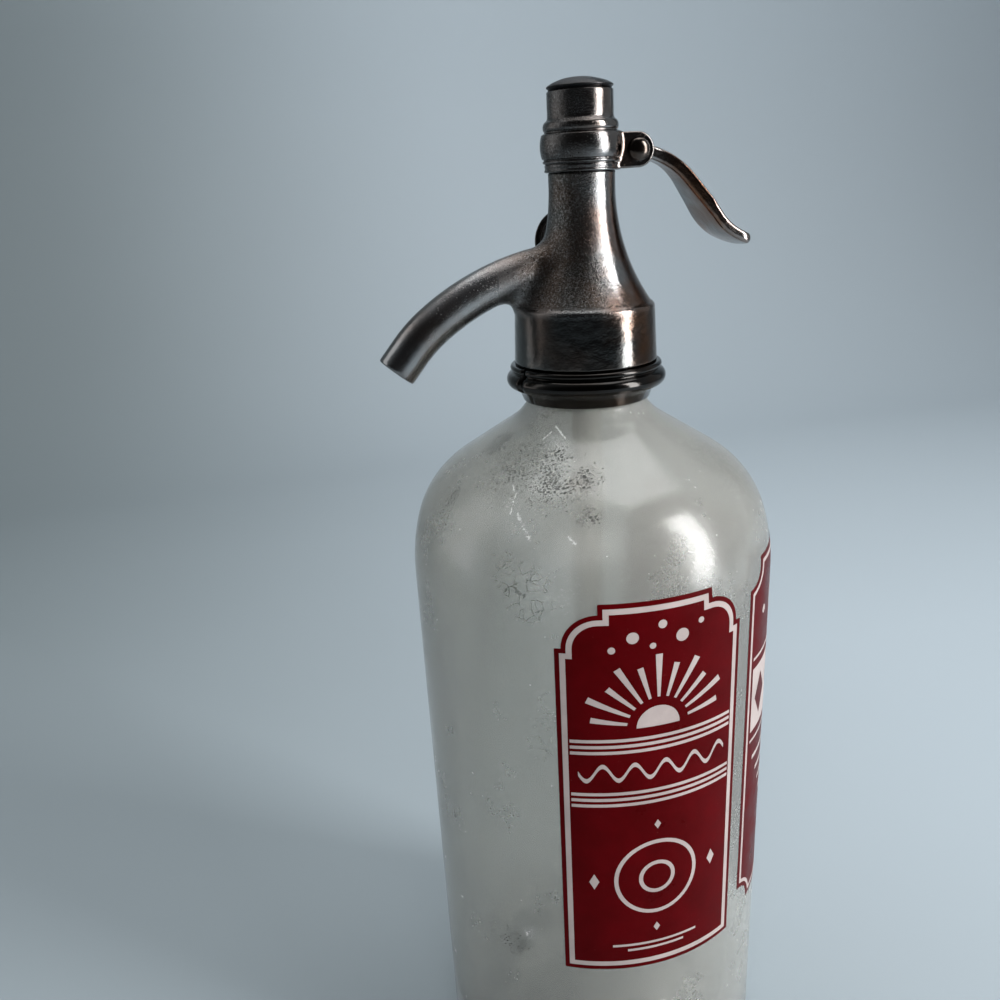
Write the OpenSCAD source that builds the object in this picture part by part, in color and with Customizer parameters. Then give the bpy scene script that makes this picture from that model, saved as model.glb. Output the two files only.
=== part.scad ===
// Soda siphon: a pressure bottle of thick glass, a cast head with a spout, and a thumb lever that
// lifts a sprung valve. Millimetres, +Z up. The origin is the centre of the base's rest ring.
// The spout points along -X, the lever along +X, and the bottle's front is -Y.

/* [Bottle] */
// Radius of the glass where the shoulder begins
bottle_r = 49; // [48:0.5:50]
// Radius of the glass just above the heel
heel_r = 47.2; // [46:0.2:48]
// Thickness of the glass wall
wall = 5; // [4:0.5:5.5]
// Height of the glass lip, which every height of the head follows
lip_z = 222; // [210:1:240]
// Height of the push-up under the base
punt_h = 6; // [3:0.5:7]

/* [Neck finish] */
// Radius of the glass neck inside the ring
neck_r = 13.6; // [13.4:0.1:13.7]
// Radius of the bead that the split ring holds
bead_r = 15; // [14.6:0.1:15.1]

/* [Neck ring] */
// Radius of the thread that the head screws on to
thread_r = 16.6; // [16.4:0.1:16.6]
// Turn of the ring's seam from the lever side, in degrees
seam_turn = 17.4; // [0:0.2:40]
// Opening between the two halves of the ring, in degrees
seam_gap = 1.6; // [0.8:0.2:4]

/* [Head] */
// Radius of the collar at its lower edge
collar_r = 18.6; // [18.2:0.1:19]
// Radius of the bell where it meets the collar
bell_r = 17.2; // [16.6:0.1:17.6]
// Radius of the slim neck of the casting
stalk_r = 8.3; // [8:0.1:8.8]
// Largest radius of the barrel band
band_r = 10.15; // [9.8:0.05:10.6]
// Radius of the spring barrel's bore
barrel_bore_r = 6; // [5.8:0.1:6.2]

/* [Spout] */
// Outer radius of the spout
spout_r = 5.3; // [5:0.1:5.6]
// Radius of the way through the spout
spout_bore_r = 2.6; // [2:0.1:3]
// Bend radius of the spout's upper part
spout_bend_1 = 65; // [60:1:70]
// Bend radius of the spout's lower part
spout_bend_2 = 40; // [36:1:48]
// Slope of the spout's straight end below horizontal, in degrees
spout_end_slope = 50.4; // [45:0.1:55]

/* [Lever] */
// Distance of the pivot pin from the valve's axis
pivot_x = 12.8; // [12.6:0.1:13.2]
// Width of the lever between the lugs
lever_w = 5; // [4.4:0.1:5]
// Width of the thumb plate
thumb_w = 14; // [11:0.5:16]
// Thickness of the arm
arm_t = 3; // [2.6:0.1:3.4]
// How far the lever turns, in degrees
lever_turn = 12; // [8:1:12]

/* [Valve] */
// Radius of the valve stem
stem_r = 2.4; // [2:0.1:2.4]
// Radius of the hole in the valve seat
port_r = 2.2; // [1.6:0.1:2.4]
// Radius of the spring's wire
wire_r = 0.6; // [0.5:0.05:0.7]

/* [Dip tube] */
// Outer radius of the dip tube
tube_r = 4; // [3.6:0.1:4]
// Height of the dip tube's open foot
tube_foot_z = 19; // [17:1:30]

/* [Hidden] */
$fn = 128;

glass = [0.80, 0.85, 0.81, 0.55];
pewter = [0.43, 0.43, 0.44];
dark_pewter = [0.34, 0.33, 0.33];
brass = [0.72, 0.58, 0.32];
rubber = [0.14, 0.13, 0.13];
steel = [0.62, 0.63, 0.65];

eps = 0.05;          // overlap of cuts and joined forms
seat_gap = 0.05;     // clearance of pieces that are fixed together
run_gap = 0.07;      // clearance of a round piece that slides or turns

// Rounds a length to the 0.01 mm grid, so that neighbouring forms share their corners exactly
function grid(x) = round(x * 100) / 100;

// Bottle: two shoulder arcs, a straight slope and a fillet up to the neck. The arcs change over
// where their tangents have round sines and cosines, which keeps the shared corners on the grid.
heel_arc = 7;
rest_in_r = 31;
floor_z = 12;
floor_corner = 12;
arc_1 = 52;
arc_2 = 27.5;
turn_dir = [0.96, 0.28];
slope_dir = [0.5376, 0.8432];
neck_arc = 15;
neck_arc_at = [neck_r + neck_arc, lip_z - 9.9];
slope_top = neck_arc_at - neck_arc * slope_dir;
slope_foot_x = bottle_r - arc_1 + (arc_1 - arc_2) * turn_dir[0] + arc_2 * slope_dir[0];
slope_drop = (slope_foot_x - slope_top[0]) * slope_dir[0] / slope_dir[1];
shoulder_z = grid(slope_top[1] - slope_drop - arc_2 * slope_dir[1] - (arc_1 - arc_2) * turn_dir[1]);
arc_1_at = [bottle_r - arc_1, shoulder_z];
arc_2_at = arc_1_at + (arc_1 - arc_2) * turn_dir;
bead_top_z = lip_z - 2;
bead_z = lip_z - 7;
bead_round = 1;

// Stack at the mouth, from the lip up
mouth_gasket_t = 1.6;
ferrule_t = 1.6;
head_gasket_t = 1.2;
ferrule_z = lip_z + mouth_gasket_t;
head_gasket_z = ferrule_z + ferrule_t;
head_floor_z = head_gasket_z + head_gasket_t;
stack_r = 13;
sleeve_r = neck_r - wall - 0.4;
sleeve_bore_r = sleeve_r - 1.6;
sleeve_z = lip_z - 9;

// Head casting
collar_z = lip_z - 7.3;
collar_top_z = lip_z + 7.5;
collar_bore_r = thread_r + 0.1;
bell_top_z = lip_z + 36;
bell_arc = (pow(bell_r - stalk_r, 2) + pow(bell_top_z - collar_top_z, 2)) / (2 * (bell_r - stalk_r));
barrel_z = lip_z + 40;
band_z = barrel_z + 2.3;
band_top_z = band_z + 6.5;
band_arc = 9;
hoop_r = 9.3;
flare_z = band_top_z + 2.1;
cap_tube_z = flare_z + 1.7;
cap_tube_r = 8.25;
head_top_z = lip_z + 58.2;
bead_line_r = 0.3;

// Valve, from the seat up to the cap
seat_r = 7;
seat_top_z = head_floor_z + 5;
seat_lip_z = seat_top_z + 1;
seat_lip_r = port_r + 1.2;
chamber_r = 6;
chamber_top_z = lip_z + 25;
gland_r = 5;
gland_z = lip_z + 27.5;
rubber_r = 4.2;
rubber_t = 2.4;
cup_r = 5;
cup_z = seat_lip_z + 1.1;
cup_floor_z = seat_lip_z + seat_gap + rubber_t;
cup_h = 4.6;
spigot_r = 2;
packing_washer_t = 0.95;
packing_z = gland_z + seat_gap + packing_washer_t + seat_gap;
packing_ring_t = 2.5;
gland_nut_z = packing_z + 2 * packing_ring_t + 0.1;
gland_nut_slot = 1.2;
lifter_r = barrel_bore_r - run_gap;
lifter_z = barrel_z + 0.2;
lifter_top_z = lip_z + 48;
spring_r = 4;
spring_turns = 5;
spring_foot_z = lifter_top_z + 0.02;
spring_top_z = lip_z + 58.9;
cap_rim_r = 8.3;
cap_rim_z = head_top_z + 0.55;
cap_rim_t = 0.5;
cap_top_z = lip_z + 61.25;
cap_shank_z = lip_z + 54.5;
cap_sag = cap_top_z - cap_rim_z - cap_rim_t;
cap_arc = (pow(cap_rim_r, 2) + pow(cap_sag, 2)) / (2 * cap_sag);

// Lever: its round finger sits in the lifter's mortise
pivot_z = lip_z + 44;
finger_x = 9.5;
finger_r = 2;
mortise_h = 2 * finger_r + 0.15;
mortise_floor_x = 0.9;
hub_r = 3.4;
pin_r = 1.6;
pin_head_r = 2.8;
pin_head_t = 1.3;
lug_r = 4.2;
lug_in_y = lever_w / 2 + 0.3;
lug_t = 3.05;
slot_z = pivot_z - 3.4;
slot_top_z = pivot_z + 4.6;
arm_bend_1 = 18;
arm_out = [0.8, 0.6];
arm_run = 12;
arm_bend_2 = 16;
arm_end_out = [0.28, 0.96];

// Spout: two bends that meet where the slope is 3 in 4, then a short straight end
bend_1_at = [-0.5, lip_z - 46.9];
join_dir = [0.6, 0.8];
join_slope = atan(join_dir[0] / join_dir[1]);
bend_2_at = bend_1_at + (spout_bend_1 - spout_bend_2) * [-join_dir[0], join_dir[1]];
spout_end_l = 6;
spout_end_step = 0.05;
spout_end_lap = 0.3;
root_z = lip_z + 18.88;
root_slope = 8.4;
root_flare = 15;
root_flare_l = 17.5;

// Side plug on the far side of the bell
plug_z = lip_z + 22.5;
plug_face_y = 13.2;
plug_washer_t = 0.4;
plug_head_r = 8;
plug_head_t = 1.9;
plug_shank_r = 3.5;
plug_boss_r = 7.2;

// Ring from one radius to another between two heights
module ring(inner, outer, z0, z1) {
    translate([0, 0, z0])
        difference() {
            cylinder(r = outer, h = z1 - z0);
            translate([0, 0, -1])
                cylinder(r = inner, h = z1 - z0 + 2);
        }
}

// Upright cylinder between two heights
module bar(r, z0, z1) {
    translate([0, 0, z0])
        cylinder(r = r, h = z1 - z0);
}

// Half outline of a circle's slice between two heights, filled in to the axis, for turning
module arc_band(at, r, z0, z1) {
    intersection() {
        translate(at)
            circle(r);
        translate([0, z0])
            square([abs(at[0]) + r + 1, z1 - z0]);
    }
    if (at[0] > 0)
        translate([0, z0])
            square([at[0] + 1, z1 - z0]);
}

// Half outline of the glass, moved inward by the inset
module glass_outline(inset) {
    turn = arc_1_at + (arc_1 - inset) * turn_dir;
    foot = arc_2_at + (arc_2 - inset) * slope_dir;
    top = neck_arc_at - (neck_arc + inset) * slope_dir;
    polygon([[0, heel_arc], [heel_r - inset, heel_arc], [bottle_r - inset, shoulder_z],
             [0, shoulder_z]]);
    arc_band(arc_1_at, arc_1 - inset, shoulder_z, turn[1]);
    arc_band(arc_2_at, arc_2 - inset, turn[1], foot[1]);
    polygon([[0, foot[1]], foot, top, [0, top[1]]]);
    difference() {
        translate([0, top[1]])
            square([top[0], neck_arc_at[1] - top[1]]);
        translate(neck_arc_at)
            circle(neck_arc + inset);
    }
    translate([0, neck_arc_at[1]])
        square([neck_r - inset, lip_z - neck_arc_at[1]]);
}

// Round heel that runs down to the flat rest ring
module heel_outline() {
    intersection() {
        translate([heel_r - heel_arc, heel_arc])
            circle(heel_arc);
        translate([heel_r - heel_arc, 0])
            square([heel_arc, heel_arc]);
    }
    square([heel_r - heel_arc, heel_arc]);
}

// Bead under the lip, rounded on its outer edge
module bead_outline() {
    translate([0, bead_z])
        square([bead_r - bead_round, bead_top_z - bead_z]);
    translate([0, bead_z + bead_round])
        square([bead_r, bead_top_z - bead_z - 2 * bead_round]);
    for (z = [bead_z + bead_round, bead_top_z - bead_round])
        translate([bead_r - bead_round, z])
            circle(bead_round);
}

// Hollow of the bottle: the wall's inner face, with a rounded corner at the floor
module hollow_outline() {
    corner = [heel_r - wall - floor_corner, floor_z + floor_corner];
    difference() {
        union() {
            glass_outline(wall);
            translate([0, lip_z])
                square([neck_r - wall, 1]);
        }
        square([bottle_r, corner[1]]);
    }
    intersection() {
        translate(corner)
            circle(floor_corner);
        translate([corner[0], floor_z])
            square([floor_corner, floor_corner]);
    }
    translate([0, floor_z])
        square([corner[0], floor_corner]);
}

module bottle() {
    punt_arc = (pow(rest_in_r, 2) + pow(punt_h, 2)) / (2 * punt_h);
    color(glass)
        rotate_extrude()
            difference() {
                union() {
                    heel_outline();
                    glass_outline(0);
                    bead_outline();
                }
                hollow_outline();
                intersection() {
                    translate([0, punt_h - punt_arc])
                        circle(punt_arc);
                    translate([0, -1])
                        square([bottle_r, punt_h + 2]);
                }
            }
}

// Half outline of the split ring: threaded shank, flange bead, groove, round bead and skirt
module split_ring_outline() {
    flange_r = 19.6;
    flange_round = 0.9;
    round_bead = 1.75;
    round_bead_x = 18.5;
    round_bead_z = lip_z - 12.1;
    skirt_z = lip_z - 16.8;
    ledge_z = bead_z - seat_gap;
    difference() {
        union() {
            translate([0, collar_z - 3])
                square([thread_r, 9.6]);
            translate([0, collar_z - 0.1 - 2 * flange_round])
                square([flange_r - flange_round, 2 * flange_round]);
            translate([flange_r - flange_round, collar_z - 0.1 - flange_round])
                circle(flange_round);
            translate([0, round_bead_z])
                square([18.3, collar_z - 1 - round_bead_z]);
            translate([round_bead_x, round_bead_z])
                circle(round_bead);
            polygon([[0, skirt_z], [16.7, skirt_z], [17.4, skirt_z + 2.2], [18.3, skirt_z + 3.4],
                     [18.3, round_bead_z + 0.1], [0, round_bead_z + 0.1]]);
        }
        polygon([[0, skirt_z - 1], [16.3, skirt_z - 1], [15.85, skirt_z], [14.55, skirt_z + 2.6],
                 [13.95, skirt_z + 5.6], [13.95, ledge_z], [bead_r + 0.3, ledge_z],
                 [bead_r + 0.3, lip_z + 1], [0, lip_z + 1]]);
    }
}

// One half of the split ring, turned through its share of the circle
module split_ring_half(start) {
    color(dark_pewter)
        rotate([0, 0, start + seam_gap / 2])
            rotate_extrude(angle = 180 - seam_gap)
                split_ring_outline();
}

module split_ring_front() {
    split_ring_half(180 + seam_turn);
}

module split_ring_back() {
    split_ring_half(seam_turn);
}

module mouth_gasket() {
    color(rubber)
        ring(sleeve_r + 0.5, stack_r, lip_z, ferrule_z);
}

// Flange under the head and a sleeve in the glass mouth, with a lip that carries the rubber bush
module tube_ferrule() {
    color(brass)
        difference() {
            union() {
                bar(stack_r, ferrule_z, head_gasket_z);
                bar(sleeve_r, sleeve_z, ferrule_z + eps);
            }
            bar(sleeve_bore_r, sleeve_z + 1.2, head_gasket_z + 1);
            bar(tube_r + 0.25, sleeve_z - 1, sleeve_z + 2);
        }
}

module tube_bush() {
    color(rubber)
        ring(tube_r + 0.01, sleeve_bore_r - 0.01, sleeve_z + 1.2, lip_z + 1.4);
}

// Straight glass tube with a rolled collar at its top
module dip_tube() {
    tube_bore_r = 2.5;
    collar_round = 1.1;
    collar_at = lip_z + 1.4 + collar_round;
    color(glass)
        difference() {
            union() {
                bar(tube_r, tube_foot_z, collar_at);
                rotate_extrude() {
                    translate([tube_r, collar_at])
                        circle(collar_round);
                    translate([0, collar_at - collar_round])
                        square([tube_r, 2 * collar_round]);
                }
            }
            bar(tube_bore_r, tube_foot_z - 1, lip_z + 5);
        }
}

module head_gasket() {
    color(rubber)
        ring(seat_r - 1.5, stack_r, head_gasket_z, head_floor_z);
}

// Half outline of the casting without its cores
module head_outline() {
    // collar
    polygon([[0, collar_z], [collar_r, collar_z], [collar_r - 0.55, collar_top_z - 0.9],
             [bell_r + 0.2, collar_top_z], [0, collar_top_z]]);
    // bell that draws in to the stalk
    difference() {
        translate([0, collar_top_z - eps])
            square([bell_r, bell_top_z - collar_top_z + eps]);
        translate([stalk_r + bell_arc, bell_top_z])
            circle(bell_arc);
    }
    translate([0, bell_top_z - eps])
        square([stalk_r, barrel_z - bell_top_z + 2 * eps]);
    // lower hoop with a fine bead at each edge
    polygon([[0, barrel_z - 0.5], [stalk_r, barrel_z - 0.5], [hoop_r - 0.2, barrel_z],
             [hoop_r, band_z], [0, band_z]]);
    translate([hoop_r - 0.2, barrel_z + 0.2])
        circle(bead_line_r);
    translate([hoop_r + 0.05, band_z])
        circle(bead_line_r);
    // swelled band
    arc_band([band_r - band_arc, (band_z + band_top_z) / 2], band_arc, band_z, band_top_z);
    // upper hoop and the flare to the cap tube
    translate([0, band_top_z - eps])
        square([hoop_r, flare_z - band_top_z + eps]);
    polygon([[0, flare_z - eps], [hoop_r, flare_z - eps], [hoop_r - 0.15, flare_z + 0.3],
             [cap_tube_r + 0.1, cap_tube_z - 0.3], [cap_tube_r, cap_tube_z], [0, cap_tube_z]]);
    translate([0, cap_tube_z - eps])
        square([cap_tube_r, head_top_z - cap_tube_z + eps]);
}

// Round bar along one bend, from the shared joint through the given turn
module bend(at, r, bar_r, turn) {
    translate([at[0], 0, at[1]])
        rotate([90, 0, 0])
            rotate([0, 0, 90 + join_slope])
                mirror([0, turn < 0 ? 1 : 0, 0])
                    rotate_extrude(angle = abs(turn))
                        translate([r, 0])
                            circle(bar_r);
}

// Round bar along the spout's centre line, with the straight end run on by the tail
module spout_bar(r, tail) {
    bend(bend_1_at, spout_bend_1, r, -join_slope);
    bend(bend_2_at, spout_bend_2, r, spout_end_slope - join_slope);
    translate([bend_2_at[0], 0, bend_2_at[1]])
        rotate([0, -spout_end_slope, 0])
            translate([spout_end_lap, 0, spout_bend_2])
                rotate([0, -90, 0])
                    cylinder(r = r + spout_end_step, h = spout_end_lap + spout_end_l + tail);
}

// Flare of the spout where it grows out of the bell
module root_flare() {
    foot = 4;
    translate([0, 0, root_z])
        rotate([0, -90 - root_slope, 0])
            rotate_extrude()
                difference() {
                    translate([0, foot])
                        square([spout_r + 4, root_flare_l - foot]);
                    translate([spout_r - 0.3 + root_flare, root_flare_l])
                        circle(root_flare);
                }
}

// Two ears that carry the lever's pin
module lever_lugs() {
    for (side = [-1, 1])
        translate([pivot_x, side * (lug_in_y + lug_t / 2), pivot_z])
            rotate([90, 0, 0])
                linear_extrude(height = lug_t, center = true) {
                    circle(lug_r);
                    translate([-6, -lug_r])
                        square([6, 2 * lug_r]);
                }
}

// Places a form on the side plug's axis, with +Z pointing out of the bell
module on_plug_axis() {
    translate([0, 0, plug_z])
        rotate([-90, 0, 0])
            children();
}

// Everything cut out of the casting along the valve's axis
module head_cores() {
    bar(collar_bore_r, collar_z - 1, head_floor_z);
    bar(seat_r + seat_gap, head_floor_z - 1, seat_top_z);
    bar(chamber_r, seat_top_z - 1, chamber_top_z);
    bar(stem_r + 0.1, chamber_top_z - 1, gland_z + 1);
    bar(gland_r, gland_z, barrel_z + 1);
    bar(barrel_bore_r, barrel_z, head_top_z + 1);
}

module head_body() {
    color(pewter)
        difference() {
            union() {
                rotate_extrude()
                    head_outline();
                spout_bar(spout_r, 0);
                root_flare();
                lever_lugs();
                on_plug_axis()
                    bar(plug_boss_r, 4, plug_face_y);
            }
            head_cores();
            spout_bar(spout_bore_r, 1);
            // slot that the lever passes through
            translate([2, -lug_in_y, slot_z])
                cube([12, 2 * lug_in_y, slot_top_z - slot_z]);
            translate([pivot_x, 0, pivot_z])
                rotate([90, 0, 0])
                    cylinder(r = pin_r + 0.02, h = 20, center = true);
            // spot face and bore of the side plug
            on_plug_axis() {
                bar(plug_head_r + 0.3, plug_face_y, plug_face_y + 6);
                bar(plug_shank_r + seat_gap, 4, plug_face_y + 1);
            }
        }
}

// Screwed insert whose raised lip the valve rubber closes on
module valve_seat() {
    color(brass)
        difference() {
            union() {
                bar(seat_r, head_floor_z, seat_top_z - seat_gap);
                bar(seat_lip_r, seat_top_z - 1, seat_lip_z);
            }
            bar(port_r, head_floor_z - 1, seat_lip_z + 1);
        }
}

module valve_rubber() {
    color(rubber)
        bar(rubber_r, seat_lip_z + seat_gap, cup_floor_z);
}

// Cup that holds the rubber and screws on to the stem
module valve_cup() {
    color(brass)
        difference() {
            union() {
                bar(cup_r, cup_z, cup_z + cup_h - 1);
                translate([0, 0, cup_z + cup_h - 1])
                    cylinder(r1 = cup_r, r2 = cup_r - 1.6, h = 1);
            }
            bar(rubber_r + 0.02, cup_z - 1, cup_floor_z);
            bar(spigot_r + 0.02, cup_z, cup_z + cup_h + 1);
        }
}

// Turned stem: spigot for the cup, plain shank, and the lifter head with its mortise
module valve_stem() {
    color(steel)
        difference() {
            union() {
                bar(spigot_r, cup_floor_z + seat_gap, cup_z + cup_h + seat_gap + eps);
                bar(stem_r, cup_z + cup_h + seat_gap, lifter_z + eps);
                bar(lifter_r, lifter_z, lifter_top_z);
            }
            translate([mortise_floor_x, -lug_in_y, pivot_z - mortise_h / 2])
                cube([lifter_r, 2 * lug_in_y, mortise_h]);
        }
}

module packing_washer() {
    color(brass)
        ring(stem_r + run_gap, gland_r - seat_gap, gland_z, gland_z + packing_washer_t);
}

// Two rubber rings squeezed round the stem, each with rounded edges
module stem_packing() {
    edge = 0.4;
    color(rubber)
        rotate_extrude()
            for (n = [0, 1])
                translate([stem_r + run_gap, packing_z + n * packing_ring_t]) {
                    width = gland_r - seat_gap - stem_r - run_gap;
                    height = packing_ring_t - 0.05;
                    translate([edge, 0])
                        square([width - 2 * edge, height]);
                    translate([0, edge])
                        square([width, height - 2 * edge]);
                    for (x = [edge, width - edge], z = [edge, height - edge])
                        translate([x, z])
                            circle(edge);
                }
}

module gland_nut() {
    color(brass)
        difference() {
            ring(stem_r + run_gap, gland_r - seat_gap, gland_nut_z, barrel_z - 0.1);
            translate([0, 0, barrel_z - 0.1])
                cube([3 * gland_r, gland_nut_slot, 2.4], center = true);
        }
}

// Height of the spring's wire centre at a share of its length, with the end coils nearly closed
function spring_z(t, z0, z1) = z0 + (z1 - z0) * (0.30 * t + 0.70 * t * t * (3 - 2 * t));

// Tube swept along the spring's coil
module return_spring() {
    sides = 8;
    steps = 24 * spring_turns;
    z0 = spring_foot_z + wire_r;
    z1 = spring_top_z - wire_r - 0.02;
    points = [for (i = [0 : steps]) let (t = i / steps, turn = 360 * spring_turns * t)
        for (k = [0 : sides - 1]) let (a = 360 * k / sides, r = spring_r + wire_r * cos(a))
            [r * cos(turn), r * sin(turn), spring_z(t, z0, z1) + wire_r * sin(a)]];
    walls = [for (i = [0 : steps - 1], k = [0 : sides - 1])
        let (j = (k + 1) % sides)
            [i * sides + k, (i + 1) * sides + k, (i + 1) * sides + j, i * sides + j]];
    foot = [for (k = [0 : sides - 1]) k];
    top = [for (k = [sides - 1 : -1 : 0]) steps * sides + k];
    color(steel)
        polyhedron(points = points, faces = concat(walls, [foot, top]), convexity = 10);
}

// Domed cap with a shank that screws into the barrel and a pocket for the spring's end
module spring_cap() {
    color(dark_pewter)
        difference() {
            union() {
                rotate_extrude()
                    arc_band([0, cap_top_z - cap_arc], cap_arc, cap_rim_z + cap_rim_t, cap_top_z);
                bar(cap_rim_r, cap_rim_z, cap_rim_z + cap_rim_t);
                bar(cap_rim_r - 0.5, head_top_z, cap_rim_z);
                bar(barrel_bore_r - seat_gap, cap_shank_z, head_top_z);
            }
            bar(spring_r + wire_r + 0.3, cap_shank_z - 1, spring_top_z);
        }
}

// Bent strip of the arm between two directions from the bend's centre
module arm_arc(at, r, from, to) {
    far = 2 * r;
    translate(at)
        intersection() {
            difference() {
                circle(r + arm_t / 2);
                circle(r - arm_t / 2);
            }
            polygon([[0, 0], far * from, far * to]);
        }
}

// Side view of the lever, with the pivot at the origin
module lever_side() {
    bend_at = [0, -arm_bend_1];
    run_start = bend_at + arm_bend_1 * arm_out;
    run_end = run_start + arm_run * [arm_out[1], -arm_out[0]];
    across = arm_out * arm_t / 2;
    curl_at = run_end + arm_bend_2 * arm_out;
    translate([-finger_x, 0])
        circle(finger_r);
    polygon([[-finger_x, -1.3], [-6, -1.3], [-1.6, -3], [0, -3], [0, 3], [-1.6, 3], [-6, 1.3],
             [-finger_x, 1.3]]);
    circle(hub_r);
    arm_arc(bend_at, arm_bend_1, [0, 1], arm_out);
    polygon([run_start + across, run_start - across, run_end - across, run_end + across]);
    arm_arc(curl_at, arm_bend_2, -arm_out, -arm_end_out);
    translate(curl_at - arm_bend_2 * arm_end_out)
        circle(arm_t / 2);
}

// Plan view of the lever: a narrow hub that widens to the rounded thumb plate
module lever_plan() {
    corner = 4.5;
    plate_end = 32.4;
    plate_start = 20;
    translate([-finger_x - finger_r - 1, -lever_w / 2])
        square([finger_x + finger_r + 9, lever_w]);
    polygon([[7.5, -lever_w / 2], [plate_start, -thumb_w / 2], [plate_start, thumb_w / 2],
             [7.5, lever_w / 2]]);
    translate([plate_start - eps, -thumb_w / 2])
        square([plate_end - corner - plate_start + eps, thumb_w]);
    translate([plate_end - corner - eps, corner - thumb_w / 2])
        square([corner + eps, thumb_w - 2 * corner]);
    for (side = [-1, 1])
        translate([plate_end - corner, side * (thumb_w / 2 - corner)])
            circle(corner);
}

module lever() {
    color(pewter)
        translate([pivot_x, 0, pivot_z])
            difference() {
                intersection() {
                    rotate([90, 0, 0])
                        linear_extrude(height = thumb_w + 2, center = true)
                            lever_side();
                    translate([0, 0, -40])
                        linear_extrude(height = 60)
                            lever_plan();
                }
                rotate([90, 0, 0])
                    cylinder(r = pin_r + 0.05, h = thumb_w, center = true);
            }
}

// Pin with a domed head on one side and a low riveted end on the other
module lever_pin() {
    lug_out_y = lug_in_y + lug_t;
    color(dark_pewter)
        translate([pivot_x, 0, pivot_z])
            rotate([90, 0, 0]) {
                bar(pin_r, -lug_out_y - eps, lug_out_y + eps);
                rotate_extrude()
                    intersection() {
                        translate([0, lug_out_y])
                            square([pin_head_r, pin_head_t]);
                        translate([0, lug_out_y + pin_head_t - 4])
                            circle(4);
                    }
                rotate([180, 0, 0])
                    rotate_extrude()
                        intersection() {
                            translate([0, lug_out_y])
                                square([pin_head_r, pin_head_t]);
                            translate([0, lug_out_y + 0.8 - 3])
                                circle(3);
                        }
            }
}

// Plug that closes the cross hole into the valve chamber
module side_plug() {
    head_z = plug_face_y + plug_washer_t;
    dome_arc = 24;
    color(dark_pewter)
        on_plug_axis() {
            bar(plug_shank_r, chamber_r + 1.2, head_z + eps);
            rotate_extrude()
                arc_band([0, head_z + plug_head_t - dome_arc], dome_arc, head_z + 0.6,
                         head_z + plug_head_t);
            bar(plug_head_r, head_z, head_z + 0.65);
        }
}

module side_plug_washer() {
    color(rubber)
        on_plug_axis()
            ring(plug_shank_r + seat_gap, plug_boss_r, plug_face_y, plug_face_y + plug_washer_t);
}

bottle();
split_ring_front();
split_ring_back();
mouth_gasket();
tube_ferrule();
tube_bush();
dip_tube();
head_gasket();
head_body();
valve_seat();
valve_rubber();
valve_cup();
valve_stem();
packing_washer();
stem_packing();
gland_nut();
return_spring();
spring_cap();
lever();
lever_pin();
side_plug();
side_plug_washer();
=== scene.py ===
import math

import bmesh
import bpy
import numpy as np
from mathutils import Matrix, Vector


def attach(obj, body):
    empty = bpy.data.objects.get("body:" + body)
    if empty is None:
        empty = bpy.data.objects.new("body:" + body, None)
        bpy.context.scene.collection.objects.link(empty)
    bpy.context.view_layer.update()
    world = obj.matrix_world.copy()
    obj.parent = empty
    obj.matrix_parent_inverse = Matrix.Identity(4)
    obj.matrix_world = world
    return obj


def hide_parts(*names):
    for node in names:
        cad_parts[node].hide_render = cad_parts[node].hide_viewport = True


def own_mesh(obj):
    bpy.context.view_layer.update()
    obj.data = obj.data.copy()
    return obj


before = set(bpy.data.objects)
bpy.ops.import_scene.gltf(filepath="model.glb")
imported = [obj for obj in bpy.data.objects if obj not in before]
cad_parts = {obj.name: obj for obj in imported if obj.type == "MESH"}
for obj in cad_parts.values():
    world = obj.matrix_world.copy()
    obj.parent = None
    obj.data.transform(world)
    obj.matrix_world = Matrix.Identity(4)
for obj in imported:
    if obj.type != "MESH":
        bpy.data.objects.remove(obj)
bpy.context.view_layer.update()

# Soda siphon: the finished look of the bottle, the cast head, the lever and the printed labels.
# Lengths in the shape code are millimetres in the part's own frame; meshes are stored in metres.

MM = 0.001
STATIC, LEVER = "bottle_and_head", "lever"

# Sizes that more than one piece uses
LIP_Z = 222.0
BOTTLE_R, HEEL_R, HEEL_ARC, WALL = 49.0, 47.2, 7.0, 5.0
SHOULDER_Z = 159.99
ARC_1, ARC_2, NECK_ARC = 52.0, 27.5, 15.0
NECK_R = 13.6
PLUG_Z = 244.5
PIVOT = (12.8, 266.0)
SEAM_TURN, SEAM_GAP = 17.4, 1.6


# ---------------------------------------------------------------- mesh helpers

def piece(name, vertices, faces, material, body=STATIC, replaces=()):
    """Makes a shaded mesh from points in millimetres and lets it ride on a body."""
    mesh = bpy.data.meshes.new(name)
    points = np.asarray(vertices, float) * MM
    if isinstance(faces, np.ndarray):
        mesh.vertices.add(len(points))
        mesh.vertices.foreach_set("co", points.astype(np.float32).ravel())
        mesh.loops.add(faces.size)
        mesh.loops.foreach_set("vertex_index", faces.astype(np.int32).ravel())
        mesh.polygons.add(len(faces))
        starts = np.arange(len(faces), dtype=np.int32) * faces.shape[1]
        mesh.polygons.foreach_set("loop_start", starts)
        mesh.update(calc_edges=True)
        mesh.validate()
    else:
        mesh.from_pydata([tuple(p) for p in points], [], faces)
        mesh.update()
    return finish_piece(name, mesh, material, body, replaces)


def finish_piece(name, mesh, material, body=STATIC, replaces=()):
    """Puts a ready mesh in the scene with its finish, riding on a body."""
    for replaced in replaces:
        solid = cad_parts[replaced]
        solid.name = solid.data.name = "cad_" + replaced
    obj = bpy.data.objects.new(name, mesh)
    bpy.context.scene.collection.objects.link(obj)
    mesh.polygons.foreach_set("use_smooth", [True] * len(mesh.polygons))
    mesh.materials.clear()
    mesh.materials.append(material)
    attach(obj, body)
    if replaces:
        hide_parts(*replaces)
    return obj


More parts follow.
